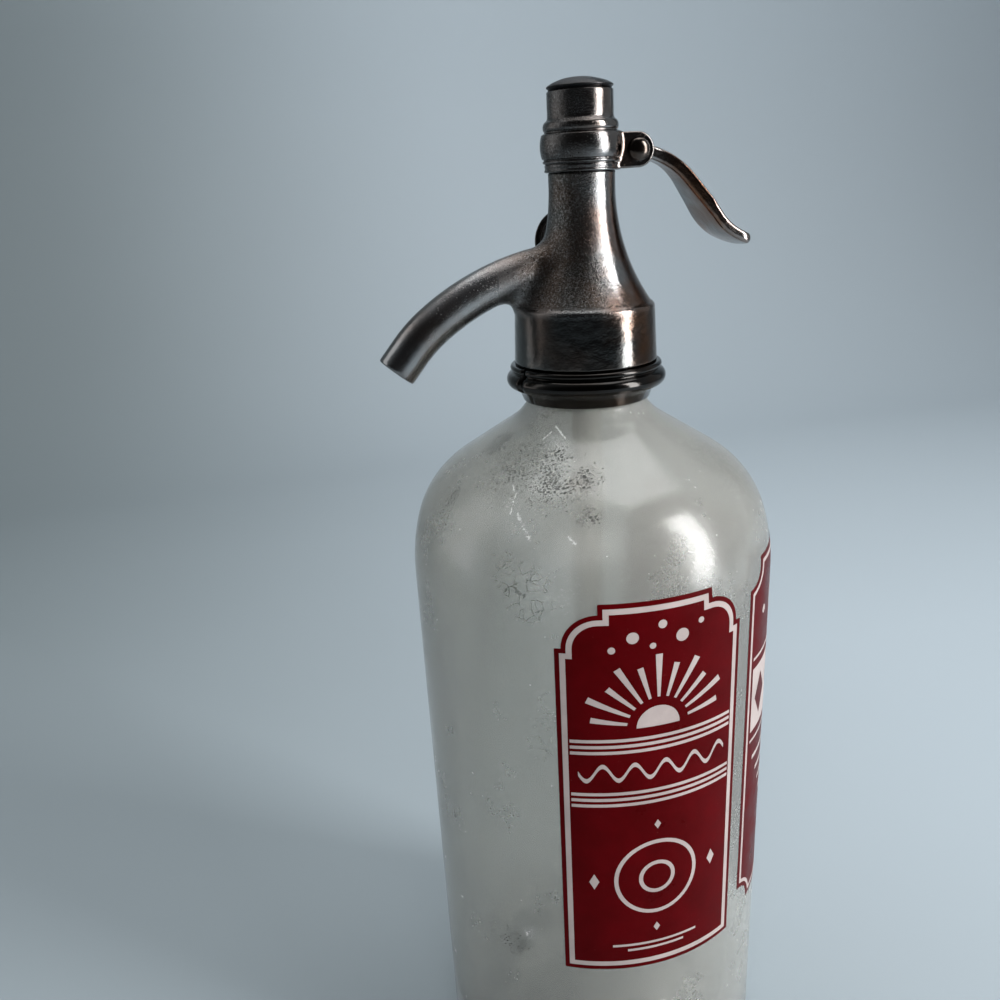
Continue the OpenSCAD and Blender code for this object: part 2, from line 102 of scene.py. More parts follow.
def evaluated_mesh(holder):
    """The finished mesh of a curve or of a mesh with modifiers, which is then removed."""
    bpy.context.scene.collection.objects.link(holder)
    bpy.context.view_layer.update()
    shape = holder.evaluated_get(bpy.context.evaluated_depsgraph_get())
    mesh = bpy.data.meshes.new_from_object(shape)
    bpy.data.objects.remove(holder)
    return mesh


def arc(centre, radius, start, end, steps):
    """Points of an arc in the half section, from one angle to another in degrees."""
    turns = np.radians(np.linspace(start, end, steps + 1))
    return [(centre[0] + radius * math.cos(t), centre[1] + radius * math.sin(t)) for t in turns]


def line(start, end, steps):
    """Points in equal steps along a straight run, both ends included."""
    return list(zip(*(np.linspace(a, b, steps + 1) for a, b in zip(start, end))))


def both_halves(right):
    """A whole loop from its right half, given upwards."""
    return right + [(-u, v) for u, v in reversed(right)]


def lathe_faces(rings, around):
    """Quads between neighbouring rings of a closed section that is turned all the way round."""
    ring = np.arange(rings)[:, None]
    step = np.arange(around)[None, :]
    here, there = ring * around, ((ring + 1) % rings) * around
    after = (step + 1) % around
    return np.stack([here + step, here + after, there + after, there + step], -1).reshape(-1, 4)


def lathe(name, outline, material, around, replaces, shake=None):
    """Turns a closed section, given anticlockwise in (radius, height), into a ring-shaped piece."""
    section = np.array(outline, float)
    turns = np.radians(np.arange(around) * 360 / around)
    r = np.repeat(section[:, 0, None], around, 1)
    z = np.repeat(section[:, 1, None], around, 1)
    a = np.repeat(turns[None, :], len(section), 0)
    if shake:
        r = r + shake(r, a, z)
    points = np.stack([r * np.cos(a), r * np.sin(a), z], -1).reshape(-1, 3)
    return piece(name, points, lathe_faces(len(section), around), material, replaces=replaces)


def dome(name, outline, material, around, replaces, place):
    """Turns an open section that starts and ends on the axis into a closed solid, then places it."""
    section = np.array(outline, float)
    turns = np.radians(np.arange(around) * 360 / around)
    points = [(0.0, 0.0, section[0][1])]
    for r, z in section[1:-1]:
        points += [(r * math.cos(t), r * math.sin(t), z) for t in turns]
    points.append((0.0, 0.0, section[-1][1]))
    after = [(k + 1) % around for k in range(around)]
    faces, last, top = [], len(points) - 1, 1 + (len(section) - 3) * around
    for k in range(around):
        faces += [(0, 1 + after[k], 1 + k), (last, top + k, top + after[k])]
    for low in range(1, top, around):
        high = low + around
        faces += [(low + k, low + after[k], high + after[k], high + k) for k in range(around)]
    return piece(name, place(np.array(points)), faces, material, replaces=replaces)


# ---------------------------------------------------------------- skins from distance fields

def skin_points(field, spans):
    """Vertices and quads of the closed surface where a field changes sign on a grid."""
    xs, ys, zs = spans
    values = field(*np.meshgrid(xs, ys, zs, indexing="ij"))
    inside = values < 0
    nx, ny, nz = (len(s) - 1 for s in spans)
    corners = [(a, b, c) for a in (0, 1) for b in (0, 1) for c in (0, 1)]
    count = np.zeros((nx, ny, nz), np.int8)
    for a, b, c in corners:
        count += inside[a:nx + a, b:ny + b, c:nz + c]
    i, j, k = np.nonzero((count > 0) & (count < 8))
    index = np.full((nx, ny, nz), -1, np.int64)
    index[i, j, k] = np.arange(len(i))
    total, crossings = np.zeros((len(i), 3)), np.zeros(len(i))
    for p in corners:
        for axis in range(3):
            if p[axis]:
                continue
            q = tuple(v + (n == axis) for n, v in enumerate(p))
            vp = values[i + p[0], j + p[1], k + p[2]]
            vq = values[i + q[0], j + q[1], k + q[2]]
            cut = (vp < 0) != (vq < 0)
            t = np.where(cut, vp / np.where(cut, vp - vq, 1), 0)
            start = np.stack([xs[i + p[0]], ys[j + p[1]], zs[k + p[2]]], -1)
            end = np.stack([xs[i + q[0]], ys[j + q[1]], zs[k + q[2]]], -1)
            total += np.where(cut[:, None], start + t[:, None] * (end - start), 0)
            crossings += cut
    quads = []
    for axis in range(3):
        low = np.take(inside, range(0, inside.shape[axis] - 1), axis)
        high = np.take(inside, range(1, inside.shape[axis]), axis)
        found = np.argwhere(low != high)
        others = [n for n in range(3) if n != axis]
        keep = np.all([(found[:, n] > 0) & (found[:, n] < len(spans[n]) - 1) for n in others], 0)
        found = found[keep]
        ring = []
        for du, dv in ((1, 1), (0, 1), (0, 0), (1, 0)):
            cell = found.copy()
            cell[:, others[0]] -= du
            cell[:, others[1]] -= dv
            ring.append(index[cell[:, 0], cell[:, 1], cell[:, 2]])
        ring = np.stack(ring, -1)
        forward = low[tuple(found.T)] != (axis == 1)
        ring[~forward] = ring[~forward][:, ::-1]
        quads.append(ring)
    return total / crossings[:, None], np.concatenate(quads)


def settle(points, field, rounds=4, step=0.02, most=0.2):
    """Moves the points of a skin on to the field's own surface."""
    for _ in range(rounds):
        x, y, z = points.T
        here = field(x, y, z)
        slope = np.stack([
            field(x + step, y, z) - field(x - step, y, z),
            field(x, y + step, z) - field(x, y - step, z),
            field(x, y, z + step) - field(x, y, z - step)], -1) / (2 * step)
        size = np.maximum((slope ** 2).sum(-1), 0.15)
        move = -slope * (here / size)[:, None]
        length = np.linalg.norm(move, axis=-1, keepdims=True)
        points = points + move * np.minimum(1, most / np.maximum(length, 1e-9))
    return points


def skin(name, field, spans, material, body=STATIC, replaces=()):
    """A closed piece whose surface follows a field of distances in millimetres."""
    points, quads = skin_points(field, spans)
    return piece(name, settle(points, field), quads, material, body, replaces)


def span(low, high, step):
    return np.arange(low, high + step, step)


def round_union(a, b, radius):
    """Joins two fields with a hollow fillet of the given radius."""
    inner = np.hypot(np.maximum(radius - a, 0), np.maximum(radius - b, 0))
    return np.maximum(radius, np.minimum(a, b)) - inner


def round_cut(a, b, radius):
    """Where both fields are inside, with the shared edge rounded off."""
    outer = np.hypot(np.maximum(radius + a, 0), np.maximum(radius + b, 0))
    return np.minimum(-radius, np.maximum(a, b)) + outer


def upright(x, y, z, radius, low, high):
    """Distance from a cylinder about the axis between two heights."""
    return np.maximum(np.hypot(x, y) - radius, np.abs(z - (low + high) / 2) - (high - low) / 2)


def section_table(outline, r_max, low, high, step=0.05):
    """Looks up the signed distance from a turned section, sampled once on a fine grid."""
    rs, zs = np.arange(0, r_max + step, step), np.arange(low, high + step, step)
    r, z = np.meshgrid(rs, zs, indexing="ij")
    nearest, inside = np.full(r.shape, 1e9), np.zeros(r.shape, bool)
    points = list(outline)
    for (ar, az), (br, bz) in zip(points, points[1:] + points[:1]):
        er, ez = br - ar, bz - az
        if abs(er) + abs(ez) < 1e-9:
            continue
        if ar > 1e-6 or br > 1e-6:
            t = np.clip(((r - ar) * er + (z - az) * ez) / (er * er + ez * ez), 0, 1)
            nearest = np.minimum(nearest, (r - ar - t * er) ** 2 + (z - az - t * ez) ** 2)
        if az != bz:
            inside ^= ((az > z) != (bz > z)) & (r < ar + (z - az) * er / ez)
    table = np.sqrt(nearest) * np.where(inside, -1, 1)

    def look_up(radius, height):
        u = np.clip(radius / step, 0, len(rs) - 1.001)
        v = np.clip((height - low) / step, 0, len(zs) - 1.001)
        a, b = u.astype(int), v.astype(int)
        s, t = u - a, v - b
        near = ((table[a, b] * (1 - s) + table[a + 1, b] * s) * (1 - t)
                + (table[a, b + 1] * (1 - s) + table[a + 1, b + 1] * s) * t)
        return near + np.maximum(radius - rs[-1], 0)

    return look_up


# ---------------------------------------------------------------- finishes

class Signal:
    """A value that changes over a surface; arithmetic with it adds nodes to its tree."""

    def __init__(self, tree, socket):
        self.tree = tree
        self.socket = socket

    def __add__(self, other):
        return maths(self.tree, "ADD", self, other)

    def __sub__(self, other):
        return maths(self.tree, "SUBTRACT", self, other)

    def __rsub__(self, other):
        return maths(self.tree, "SUBTRACT", other, self)

    def __mul__(self, other):
        return maths(self.tree, "MULTIPLY", self, other)

    def __truediv__(self, other):
        return maths(self.tree, "DIVIDE", self, other)

    def over(self, other):
        """The larger of two signals."""
        return maths(self.tree, "MAXIMUM", self, other)

    def held(self):
        """Keeps the result of the arithmetic before it between 0 and 1."""
        self.socket.node.use_clamp = True
        return self

    def spread(self, start, stop, low=0.0, high=1.0, smooth=False):
        """Runs from low to high while the signal runs from start to stop, and no further."""
        made = node(self.tree, "ShaderNodeMapRange", {0: self, 1: start, 2: stop, 3: low, 4: high},
                    interpolation_type="SMOOTHSTEP" if smooth else "LINEAR")
        return Signal(self.tree, made.outputs[0])


def maths(tree, operation, a, b=0.0):
    return Signal(tree, node(tree, "ShaderNodeMath", {0: a, 1: b}, operation=operation).outputs[0])


def vector_maths(tree, operation, *values):
    made = node(tree, "ShaderNodeVectorMath", dict(enumerate(values)), operation=operation)
    gives_number = operation in ("DOT_PRODUCT", "DISTANCE")
    return Signal(tree, made.outputs["Value" if gives_number else "Vector"])


def connect(tree, value, socket):
    """Links a signal to an input, or sets the input to a plain number or colour."""
    value = getattr(value, "socket", value)
    if isinstance(value, bpy.types.NodeSocket):
        tree.links.new(value, socket)
    elif socket.type == "RGBA":
        socket.default_value = (*value, 1)
    else:
        socket.default_value = value


def node(tree, kind, inputs=None, **settings):
    """Adds a node, sets its properties, then its inputs from values or signals."""
    made = tree.nodes.new(kind)
    for key, value in settings.items():
        setattr(made, key, value)
    for key, value in (inputs or {}).items():
        connect(tree, value, made.inputs[key])
    return made


def noise(tree, place, scale, detail, rough=0.5, **inputs):
    """Cloudy noise between 0 and 1, finer as the scale goes up."""
    inputs.update(Vector=place, Scale=scale, Detail=detail, Roughness=rough)
    return Signal(tree, node(tree, "ShaderNodeTexNoise", inputs).outputs["Fac"])


def wander(tree, place, scale, detail, reach):
    """A place moved by noise, by up to the reach along each axis."""
    stray = node(tree, "ShaderNodeTexNoise", {"Vector": place, "Scale": scale, "Detail": detail})
    return vector_maths(tree, "MULTIPLY_ADD", stray.outputs["Color"], reach, place)


def split(tree, place):
    """The three coordinates of a place."""
    parts = node(tree, "ShaderNodeSeparateXYZ", {0: place})
    return [Signal(tree, socket) for socket in parts.outputs]


def chance_of(tree, cells):
    """A random number for each cell of a Voronoi node."""
    parts = node(tree, "ShaderNodeSeparateColor", {0: cells.outputs["Color"]})
    return Signal(tree, parts.outputs[0])


def coats(tree, colour, *layers):
    """Lays colours over a first one, each by its share."""
    for share, over in layers:
        made = node(tree, "ShaderNodeMix", {0: share, 6: colour, 7: over}, data_type="RGBA")
        colour = made.outputs[2]
    return colour


def widest(signals):
    """The largest of several signals at each point."""
    total = signals[0]
    for other in signals[1:]:
        total = total.over(other)
    return total


class Finish:
    """A material in the making, with its tree and the place on the piece."""

    def __init__(self, name, colour):
        self.material = bpy.data.materials.new(name)
        self.material.use_nodes = True
        self.material.diffuse_color = (*colour, 1)
        self.tree = self.material.node_tree
        self.place = node(self.tree, "ShaderNodeTexCoord").outputs["Object"]

    def feed(self, **inputs):
        """Feeds the shader, from signals or with plain values on its own sockets."""
        shader = self.tree.nodes["Principled BSDF"]
        for label, value in inputs.items():
            connect(self.tree, value, shader.inputs[label.replace("_", " ")])

    def relief(self, height, strength, depth):
        """Raises the surface by a height that changes over it."""
        bump = node(self.tree, "ShaderNodeBump",
                    {"Strength": strength, "Distance": depth, "Height": height})
        self.feed(Normal=bump.outputs[0])


def new_group(name, inputs, outputs=("Mask",)):
    """A shader node group. A default of None makes a vector input, a tuple makes a colour."""
    tree = bpy.data.node_groups.new(name, "ShaderNodeTree")
    for label, default in inputs.items():
        kind = {type(None): "Vector", tuple: "Color"}.get(type(default), "Float")
        socket = tree.interface.new_socket(label.replace("_", " "), in_out="INPUT",
                                           socket_type="NodeSocket" + kind)
        if default is not None:
            socket.default_value = default
    for label in outputs:
        kind = "Color" if label == "Colour" else "Float"
        tree.interface.new_socket(label, in_out="OUTPUT", socket_type="NodeSocket" + kind)
    start, end = tree.nodes.new("NodeGroupInput"), tree.nodes.new("NodeGroupOutput")
    given = {label: Signal(tree, socket) for label, socket in zip(inputs, start.outputs)}
    return tree, given, end


def use_group(tree, group, **inputs):
    made = node(tree, "ShaderNodeGroup", node_tree=group)
    for label, value in inputs.items():
        connect(tree, value, made.inputs[label.replace("_", " ")])
    return [Signal(tree, socket) for socket in made.outputs]


def make_tarnish_group():
    """Old plating: dull clouds, casting grain rubbed bright on top, tiny pits, brown stain; with painted
    shade on the spout side and the collar, a painted brown reflection and a painted sheen on the spout.
    """
    tree, given, end = new_group(
        "Old plate",
        dict(Place=None, Bright=(0.5, 0.5, 0.5, 1), Dark=(0.1, 0.1, 0.1, 1), Warm=(0.3, 0.2, 0.1, 1),
             Cloud_size=120.0, Grain_size=2600.0, Pit_amount=0.5, Grit=0.6, Warmth=0.2, Polish=0.1,
             Dullness=0.2),
        ("Colour", "Roughness", "Height"))
    place = given["Place"]
    cloud = noise(tree, place, given["Cloud_size"], 5.0, 0.62, Distortion=0.5).spread(0.38, 0.66)
    x, y, z = split(tree, place)
    spout_side = (y * 0.24 + x).spread(0.003, -0.009, 0.05, smooth=True)
    above_collar = z.spread(0.2272, 0.2305, 0.12)
    off_spout = x.spread(-0.032, -0.012, 0.30, smooth=True)
    # Grit mask: strongest on the spout side, above the collar and off the spout; the dark colour it
    # brings is partly painted shade.
    worn_and_shaded_side = (spout_side + cloud * 0.18).held() * (above_collar * off_spout) * given["Grit"]
    grain = noise(tree, place, given["Grain_size"], 3.0, 0.75)
    cells = node(tree, "ShaderNodeTexVoronoi", {"Vector": place, "Scale": given["Grain_size"]})
    size = chance_of(tree, cells).spread(0.65, 1.0, 0.0, 0.5) * given["Pit_amount"] * (worn_and_shaded_side + 0.15)
    pits = (size - Signal(tree, cells.outputs["Distance"])).spread(-0.05, 0.12)
    # Brown clouds: partly stain, partly a painted brown reflection, kept mostly off the spout side.
    brown_stain_and_reflection = noise(tree, place, 75.0, 3.0).spread(0.40, 0.64) * given["Warmth"] * (1.0 - spout_side * 0.7)
    # Dark between the grain tops on the spout side: oxide in the hollows, and painted shade over that
    # whole side.
    oxide_and_side_shade = worn_and_shaded_side * (1.0 - grain.spread(0.50, 0.64) * 0.75)
    # Below the bell the collar takes the dark colour: painted shade.
    darkness = (cloud * 0.6).over(1.0 - above_collar).over(oxide_and_side_shade).held()
    # The spout is pulled towards the bright colour, a painted sheen, and made duller.
    spout_sheen_and_dullness = 1.0 - off_spout
    colour = coats(tree, given["Bright"], (darkness, given["Dark"]), (spout_sheen_and_dullness, given["Bright"]),
                   (brown_stain_and_reflection, given["Warm"]), (pits * 0.8, (0.012, 0.011, 0.010)))
    rough = (cloud * 0.45).over(worn_and_shaded_side) * given["Dullness"] + given["Polish"]
    rough = (rough + spout_sheen_and_dullness * 0.14 + pits * 0.3).held()
    height = grain.spread(0.34, 0.68) * (worn_and_shaded_side + 0.04) + noise(tree, place, 380.0, 2.0) * 1.2
    for label, value in (("Colour", colour), ("Roughness", rough), ("Height", height - pits * 0.8)):
        connect(tree, value, end.inputs[label])
    return tree


def make_metal(name, bright, dark, brown_stain_and_reflection, bump, **inputs):
    finish = Finish(name, bright)
    colour, rough, height = use_group(finish.tree, TARNISH, Place=finish.place, Bright=bright,
                                      Dark=dark, Warm=brown_stain_and_reflection, **inputs)
    finish.feed(Base_Color=colour, Roughness=rough, Metallic=1.0)
    finish.relief(height, bump, 0.0002)
    return finish.material


def make_streak_group():
    """A soft-edged streak between two places, broken up along its length."""
    tree, given, end = new_group("Streak", dict(Place=None, From=None, To=None, Width=0.0006,
                                                Break_up=1900.0))
    along = vector_maths(tree, "SUBTRACT", given["To"], given["From"])
    offset = vector_maths(tree, "SUBTRACT", given["Place"], given["From"])
    share = (vector_maths(tree, "DOT_PRODUCT", offset, along)
             / vector_maths(tree, "DOT_PRODUCT", along, along)).held()
    nearest = node(tree, "ShaderNodeVectorMath", {0: along, 3: share}, operation="SCALE").outputs[0]
    gap = vector_maths(tree, "DISTANCE", offset, nearest)
    ragged = noise(tree, given["Place"], given["Break_up"], 2.0).spread(0.36, 0.66, 0.02, 1.5)
    connect(tree, (gap / (given["Width"] * ragged)).spread(1.0, 0.35), end.inputs["Mask"])
    return tree


def make_dash_group():
    """Short dashes of mixed size on a surface, leaning one way, as many as the level asks for."""
    tree, given, end = new_group("Dashes", dict(Place=None, Middle=None, Lean=None, Spacing=None,
                                                Level=0.5))
    turned = node(tree, "ShaderNodeMapping", {"Vector": given["Place"], "Location": given["Middle"],
                                              "Rotation": given["Lean"], "Scale": given["Spacing"]},
                  vector_type="TEXTURE").outputs[0]
    turned = wander(tree, turned, 1.1, 3.0, (0.32, 0.32, 0.0))
    smallest = 0.17
    masks = []
    for scale, share in ((1.0, 0.75), (2.1, 1.0)):
        cells = node(tree, "ShaderNodeTexVoronoi",
                     {"Vector": turned, "Scale": scale, "Randomness": 1.0}, voronoi_dimensions="2D")
        size = (given["Level"] * share - chance_of(tree, cells)).spread(0.0, 0.7, smallest, 0.38)
        mask = (size - Signal(tree, cells.outputs["Distance"])).spread(-0.03, 0.03)
        masks.append(mask * maths(tree, "GREATER_THAN", size, smallest + 0.005))
    connect(tree, widest(masks), end.inputs["Mask"])
    return tree


def make_patch_group():
    """A soft patch round one place; the unevenness that is given makes its edge ragged."""
    tree, given, end = new_group("Soft patch", dict(Place=None, Middle=None, Reach=0.01, Uneven=0.5))
    near = vector_maths(tree, "DISTANCE", given["Place"], given["Middle"]) / given["Reach"]
    near = near + given["Uneven"] * 0.9
    connect(tree, near.spread(1.45, 0.45, smooth=True), end.inputs["Mask"])
    return tree


def make_hairline_group():
    """Fine broken cracks and scribbled hairlines round one place."""
    tree, given, end = new_group("Hairlines", dict(Place=None, Middle=None, Reach=0.008, Size=430.0))
    near = vector_maths(tree, "DISTANCE", given["Place"], given["Middle"]) / given["Reach"]
    bent = wander(tree, given["Place"], 500.0, 2.0, (0.0018, 0.0018, 0.0018))
    cells = node(tree, "ShaderNodeTexVoronoi", {"Vector": bent, "Scale": given["Size"]},
                 feature="DISTANCE_TO_EDGE")
    line = Signal(tree, cells.outputs["Distance"]).spread(0.05, 0.01)
    gaps = noise(tree, given["Place"], 330.0, 2.0).spread(0.45, 0.53)
    connect(tree, line * near.spread(1.0, 0.3, smooth=True) * gaps, end.inputs["Mask"])
    return tree


TARNISH = make_tarnish_group()
STREAK = make_streak_group()
DASHES = make_dash_group()
HAIRLINES = make_hairline_group()
SOFT_PATCH = make_patch_group()

# Marks on the glass, in millimetres. Streaks are given as from, to and width.
GLASS_STREAKS = (
    ((-29.57, -28.70, 184.96), (-27.0, -25.3, 188.85), 0.30),
    ((-27.3, -24.6, 189.1), (-27.07, -22.75, 189.9), 0.30),
    ((-28.07, -29.90, 184.98), (-26.83, -35.32, 180.25), 0.60),
    ((-18.58, -39.59, 181.24), (-17.60, -40.99, 179.97), 0.50),
    ((-17.19, -14.80, 198.26), (-14.21, -13.91, 199.81), 0.26),
    ((-12.76, -13.26, 200.87), (-11.84, -17.59, 198.95), 0.34),
    ((-5.4, -25.4, 197.4), (-4.8, -26.8, 196.8), 0.46),
    ((-32.70, -34.93, 68.6), (-32.2, -35.4, 66.6), 0.38),
    ((-31.6, -35.9, 67.9), (-30.9, -36.5, 67.2), 0.30),
)
# Fields of leaning dashes: where the field is set square to the glass, its lean from level in
# degrees, its spacing, and its crowds as middle, reach and amount
GLASS_NICKS = (
    ((-18.0, -29.0, 190.8), 30, (1.15, 0.76, 1.0),
     (((-18.0, -29.0, 190.8), 11.0, 0.95), ((-12.0, -30.0, 191.3), 9.0, 0.85),
      ((-15.5, -21.5, 194.8), 9.0, 0.75), ((-13.5, -38.6, 185.2), 5.0, 0.75))),
    ((-27.0, -10.0, 193.5), 42, (1.05, 0.60, 1.0),
     (((-24.0, -18.0, 192.0), 16.0, 0.62), ((-25.5, -4.5, 195.2), 7.0, 1.20),
      ((-39.9, -10.0, 184.8), 4.5, 0.70), ((-14.5, -9.5, 202.0), 7.5, 0.45))),
    ((-38.3, -28.5, 62.5), 20, (1.1, 0.7, 1.0), (((-36.5, -31.0, 62.5), 9.0, 0.45),)),
    ((20.0, 30.0, 190.0), 30, (1.1, 0.6, 1.0), (((20.0, 30.0, 190.0), 22.0, 0.45),)),
    ((30.0, -22.0, 191.0), 35, (1.1, 0.6, 1.0), (((30.0, -22.0, 191.0), 18.0, 0.45),)),
)
GLASS_FLECKS = (
    ((-20.0, -24.0, 193.0), 45, (0.8, 0.36, 0.8),
     (((-14.5, -18.0, 198.0), 6.0, 0.65), ((-28.5, -27.0, 186.5), 4.5, 0.60),
      ((-31.5, -35.6, 67.8), 4.5, 0.70), ((-25.0, -40.5, 168.0), 14.0, 0.35))),
)
# Places with hairlines as middle and reach
GLASS_HAIRLINES = (
    ((-29.2, -38.7, 167.7), 9.0),
    ((-31.8, -36.0, 171.0), 7.0),
    ((-27.0, -40.2, 127.0), 5.0),
    ((24.0, 42.0, 120.0), 15.0),
)
# Soft patches as middle and reach: scuffed paler places, one of them a painted pool of light, darker
# patches and one brown stain
GLASS_SCUFFS_AND_LIT_PATCH = (
    ((-28.5, -32.5, 182.5), 9.0),
    # A painted pool of light on the front shoulder.
    ((-24.8, -40.1, 172.9), 13.0),
    ((-39.6, -26.2, 172.3), 9.0),
    ((-14.0, -16.5, 199.2), 4.5),
    ((-31.5, -35.8, 67.5), 5.0),
    ((30.0, 30.0, 150.0), 26.0),
)
# Darker patches: two high on the shoulder under the neck ring, two low down.
GLASS_DARK_PATCHES = (
    ((-10.0, -16.0, 202.5), 9.0),
    ((-34.0, -33.6, 63.0), 7.0),
    ((-22.0, -14.0, 197.0), 11.0),
    ((10.0, 34.0, 60.0), 18.0),
)
GLASS_STAIN = (((-13.5, -30.5, 190.8), 5.0),)


def point(p):
    return tuple(v * MM for v in p)


def lean_on_glass(middle, lean):
    """Turn that lines up a mark's length with the glass at a place, leaning up to the right."""
    x, y, z = middle
    level = Vector((-y, x, 0)).normalized()
    # The side faces straight outwards, and the shoulder partly upwards
    out = Vector((x, y, 18.0 if z > 165 else 0.0)).normalized()
    rise = out.cross(level).normalized()
    turn = math.radians(lean)
    along = level * math.cos(turn) + rise * math.sin(turn)
    return tuple(Matrix((along, out.cross(along), out)).transposed().to_euler())


def round_marks(finish, group, marks, **inputs):
    """Masks of several round marks, given as middle and reach."""
    return [use_group(finish.tree, group, Place=finish.place, Middle=point(middle),
                      Reach=reach * MM, **inputs)[0] for middle, reach in marks]


def dashes(finish, crowding, fields):
    """All the leaning dashes of a list of fields."""
    masks = []
    for middle, lean, spacing, crowds in fields:
        patches = round_marks(finish, SOFT_PATCH, [(at, reach) for at, reach, _ in crowds])
        levels = [patch * amount for patch, (_, _, amount) in zip(patches, crowds)]
        masks += use_group(finish.tree, DASHES, Place=finish.place, Middle=point(middle),
                           Lean=lean_on_glass(middle, lean), Spacing=point(spacing),
                           Level=widest(levels) * crowding)
    return widest(masks)


def milky_haze(finish, stretch, scale, detail, rough):
    """Cloudy scale in the glass, drawn out upwards."""
    drawn = node(finish.tree, "ShaderNodeMapping",
                 {"Vector": finish.place, "Scale": (1.0, 1.0, stretch)})
    return noise(finish.tree, drawn.outputs[0], scale, detail, rough).spread(0.34, 0.68)


def make_cloudy_glass():
    """Old pressure glass, milky from scale inside, with scuffs, nicks and pale streaks; the streaks and
    flecks also glow faintly, a painted highlight, and one pale patch on the front shoulder is a painted
    pool of light.
    """
    finish = Finish("Cloudy bottle glass", (0.55, 0.57, 0.54))
    tree, place = finish.tree, finish.place
    haze = milky_haze(finish, 0.22, 34.0, 6.0, 0.62)
    fine = noise(tree, place, 620.0, 4.0, 0.7)
    patch = noise(tree, place, 70.0, 3.0, 0.6).spread(0.42, 0.64)
    bloom = fine.spread(0.50, 0.70) * patch
    grime = fine.spread(0.44, 0.30) * patch
    crowding = noise(tree, place, 240.0, 3.0, 0.6).spread(0.34, 0.56, 0.3, 1.25)
    nicks = dashes(finish, crowding, GLASS_NICKS)
    lines = widest(round_marks(finish, HAIRLINES, GLASS_HAIRLINES))
    scuffs_and_lit_patch, dark_patches, stain = (widest(round_marks(finish, SOFT_PATCH, marks, Uneven=fine))
                             for marks in (GLASS_SCUFFS_AND_LIT_PATCH, GLASS_DARK_PATCHES, GLASS_STAIN))
    streaks_and_glow = [use_group(tree, STREAK, Place=place, From=point(first), To=point(last),
                         Width=width * MM)[0] for first, last, width in GLASS_STREAKS]
    streaks_and_glow = widest(streaks_and_glow + [dashes(finish, crowding, GLASS_FLECKS) * 0.6])
    chalky, black = (0.97, 0.975, 0.96), (0.0, 0.0, 0.0)
    # Chalky coat on the scuffs, and on the front shoulder a painted pool of light.
    colour = coats(tree, (0.72, 0.715, 0.67), (haze, (0.85, 0.84, 0.79)), (scuffs_and_lit_patch * 0.55, chalky),
                   (dark_patches * 0.4, (0.42, 0.42, 0.38)), (bloom * 0.22, chalky),
                   (grime * 0.18, (0.36, 0.36, 0.32)), (stain * 0.25, (0.48, 0.36, 0.25)),
                   (nicks * 0.95, (0.004, 0.004, 0.003)), (lines * 0.8, (0.05, 0.05, 0.045)),
                   (streaks_and_glow * 0.85, (0.97, 0.97, 0.96)))
    rough = haze * 0.08 + 0.14 + patch * 0.06
    for mark, share in ((nicks, 0.45), (lines, 0.3), (bloom, 0.08), (grime, 0.08)):
        rough = (rough + mark * share).held()
    # The streaks and flecks glow faintly through the emission: a painted highlight.
    finish.feed(Base_Color=colour, Roughness=rough, Transmission_Weight=0.80, IOR=1.5,
                Emission_Color=coats(tree, black, (streaks_and_glow, (0.30, 0.30, 0.295))),
                Emission_Strength=1.0)
    finish.relief(fine * 0.10 - nicks * 0.35, 0.12, 0.0002)
    return finish.material


def make_glass_inside():
    """The inner face of the bottle, with scale in the glass but none of the marks of handling."""
    finish = Finish("Milky glass inside", (0.55, 0.57, 0.54))
    haze = milky_haze(finish, 0.3, 45.0, 5.0, 0.6)
    colour = coats(finish.tree, (0.74, 0.735, 0.69), (haze, (0.87, 0.86, 0.81)))
    finish.feed(Base_Color=colour, Roughness=haze * 0.08 + 0.16, Transmission_Weight=0.80, IOR=1.5)
    return finish.material


def make_tube_glass():
    finish = Finish("Dip tube glass", (0.85, 0.9, 0.88))
    film = noise(finish.tree, finish.place, 60.0, 4.0)
    colour = coats(finish.tree, (0.93, 0.95, 0.94), (film, (0.78, 0.82, 0.79)))
    finish.feed(Base_Color=colour, Roughness=film * 0.3, Transmission_Weight=0.5, IOR=1.5)
    return finish.material


def make_enamel(name, deep, light, chip):
    """Fired enamel: a slightly uneven coat with pinholes that show what is under it."""
    finish = Finish(name, deep)
    coat = noise(finish.tree, finish.place, 90.0, 5.0, 0.6).spread(0.3, 0.75)
    grain = noise(finish.tree, finish.place, 1500.0, 2.0)
    colour = coats(finish.tree, deep, (coat, light), (grain.spread(0.72, 0.80) * 0.6, chip))
    finish.feed(Base_Color=colour, Roughness=coat * 0.2 + 0.26, Specular_IOR_Level=0.04)
    finish.relief(grain, 0.1, 0.0001)
    return finish.material


def make_rubber():
    finish = Finish("Perished rubber", (0.05, 0.045, 0.04))
    bloom = noise(finish.tree, finish.place, 300.0, 5.0, 0.7)
    colour = coats(finish.tree, (0.022, 0.02, 0.019), (bloom, (0.075, 0.068, 0.06)))
    finish.feed(Base_Color=colour, Roughness=(bloom * 0.3 + 0.6).held())
    finish.relief(bloom, 0.2, 0.0001)
    return finish.material


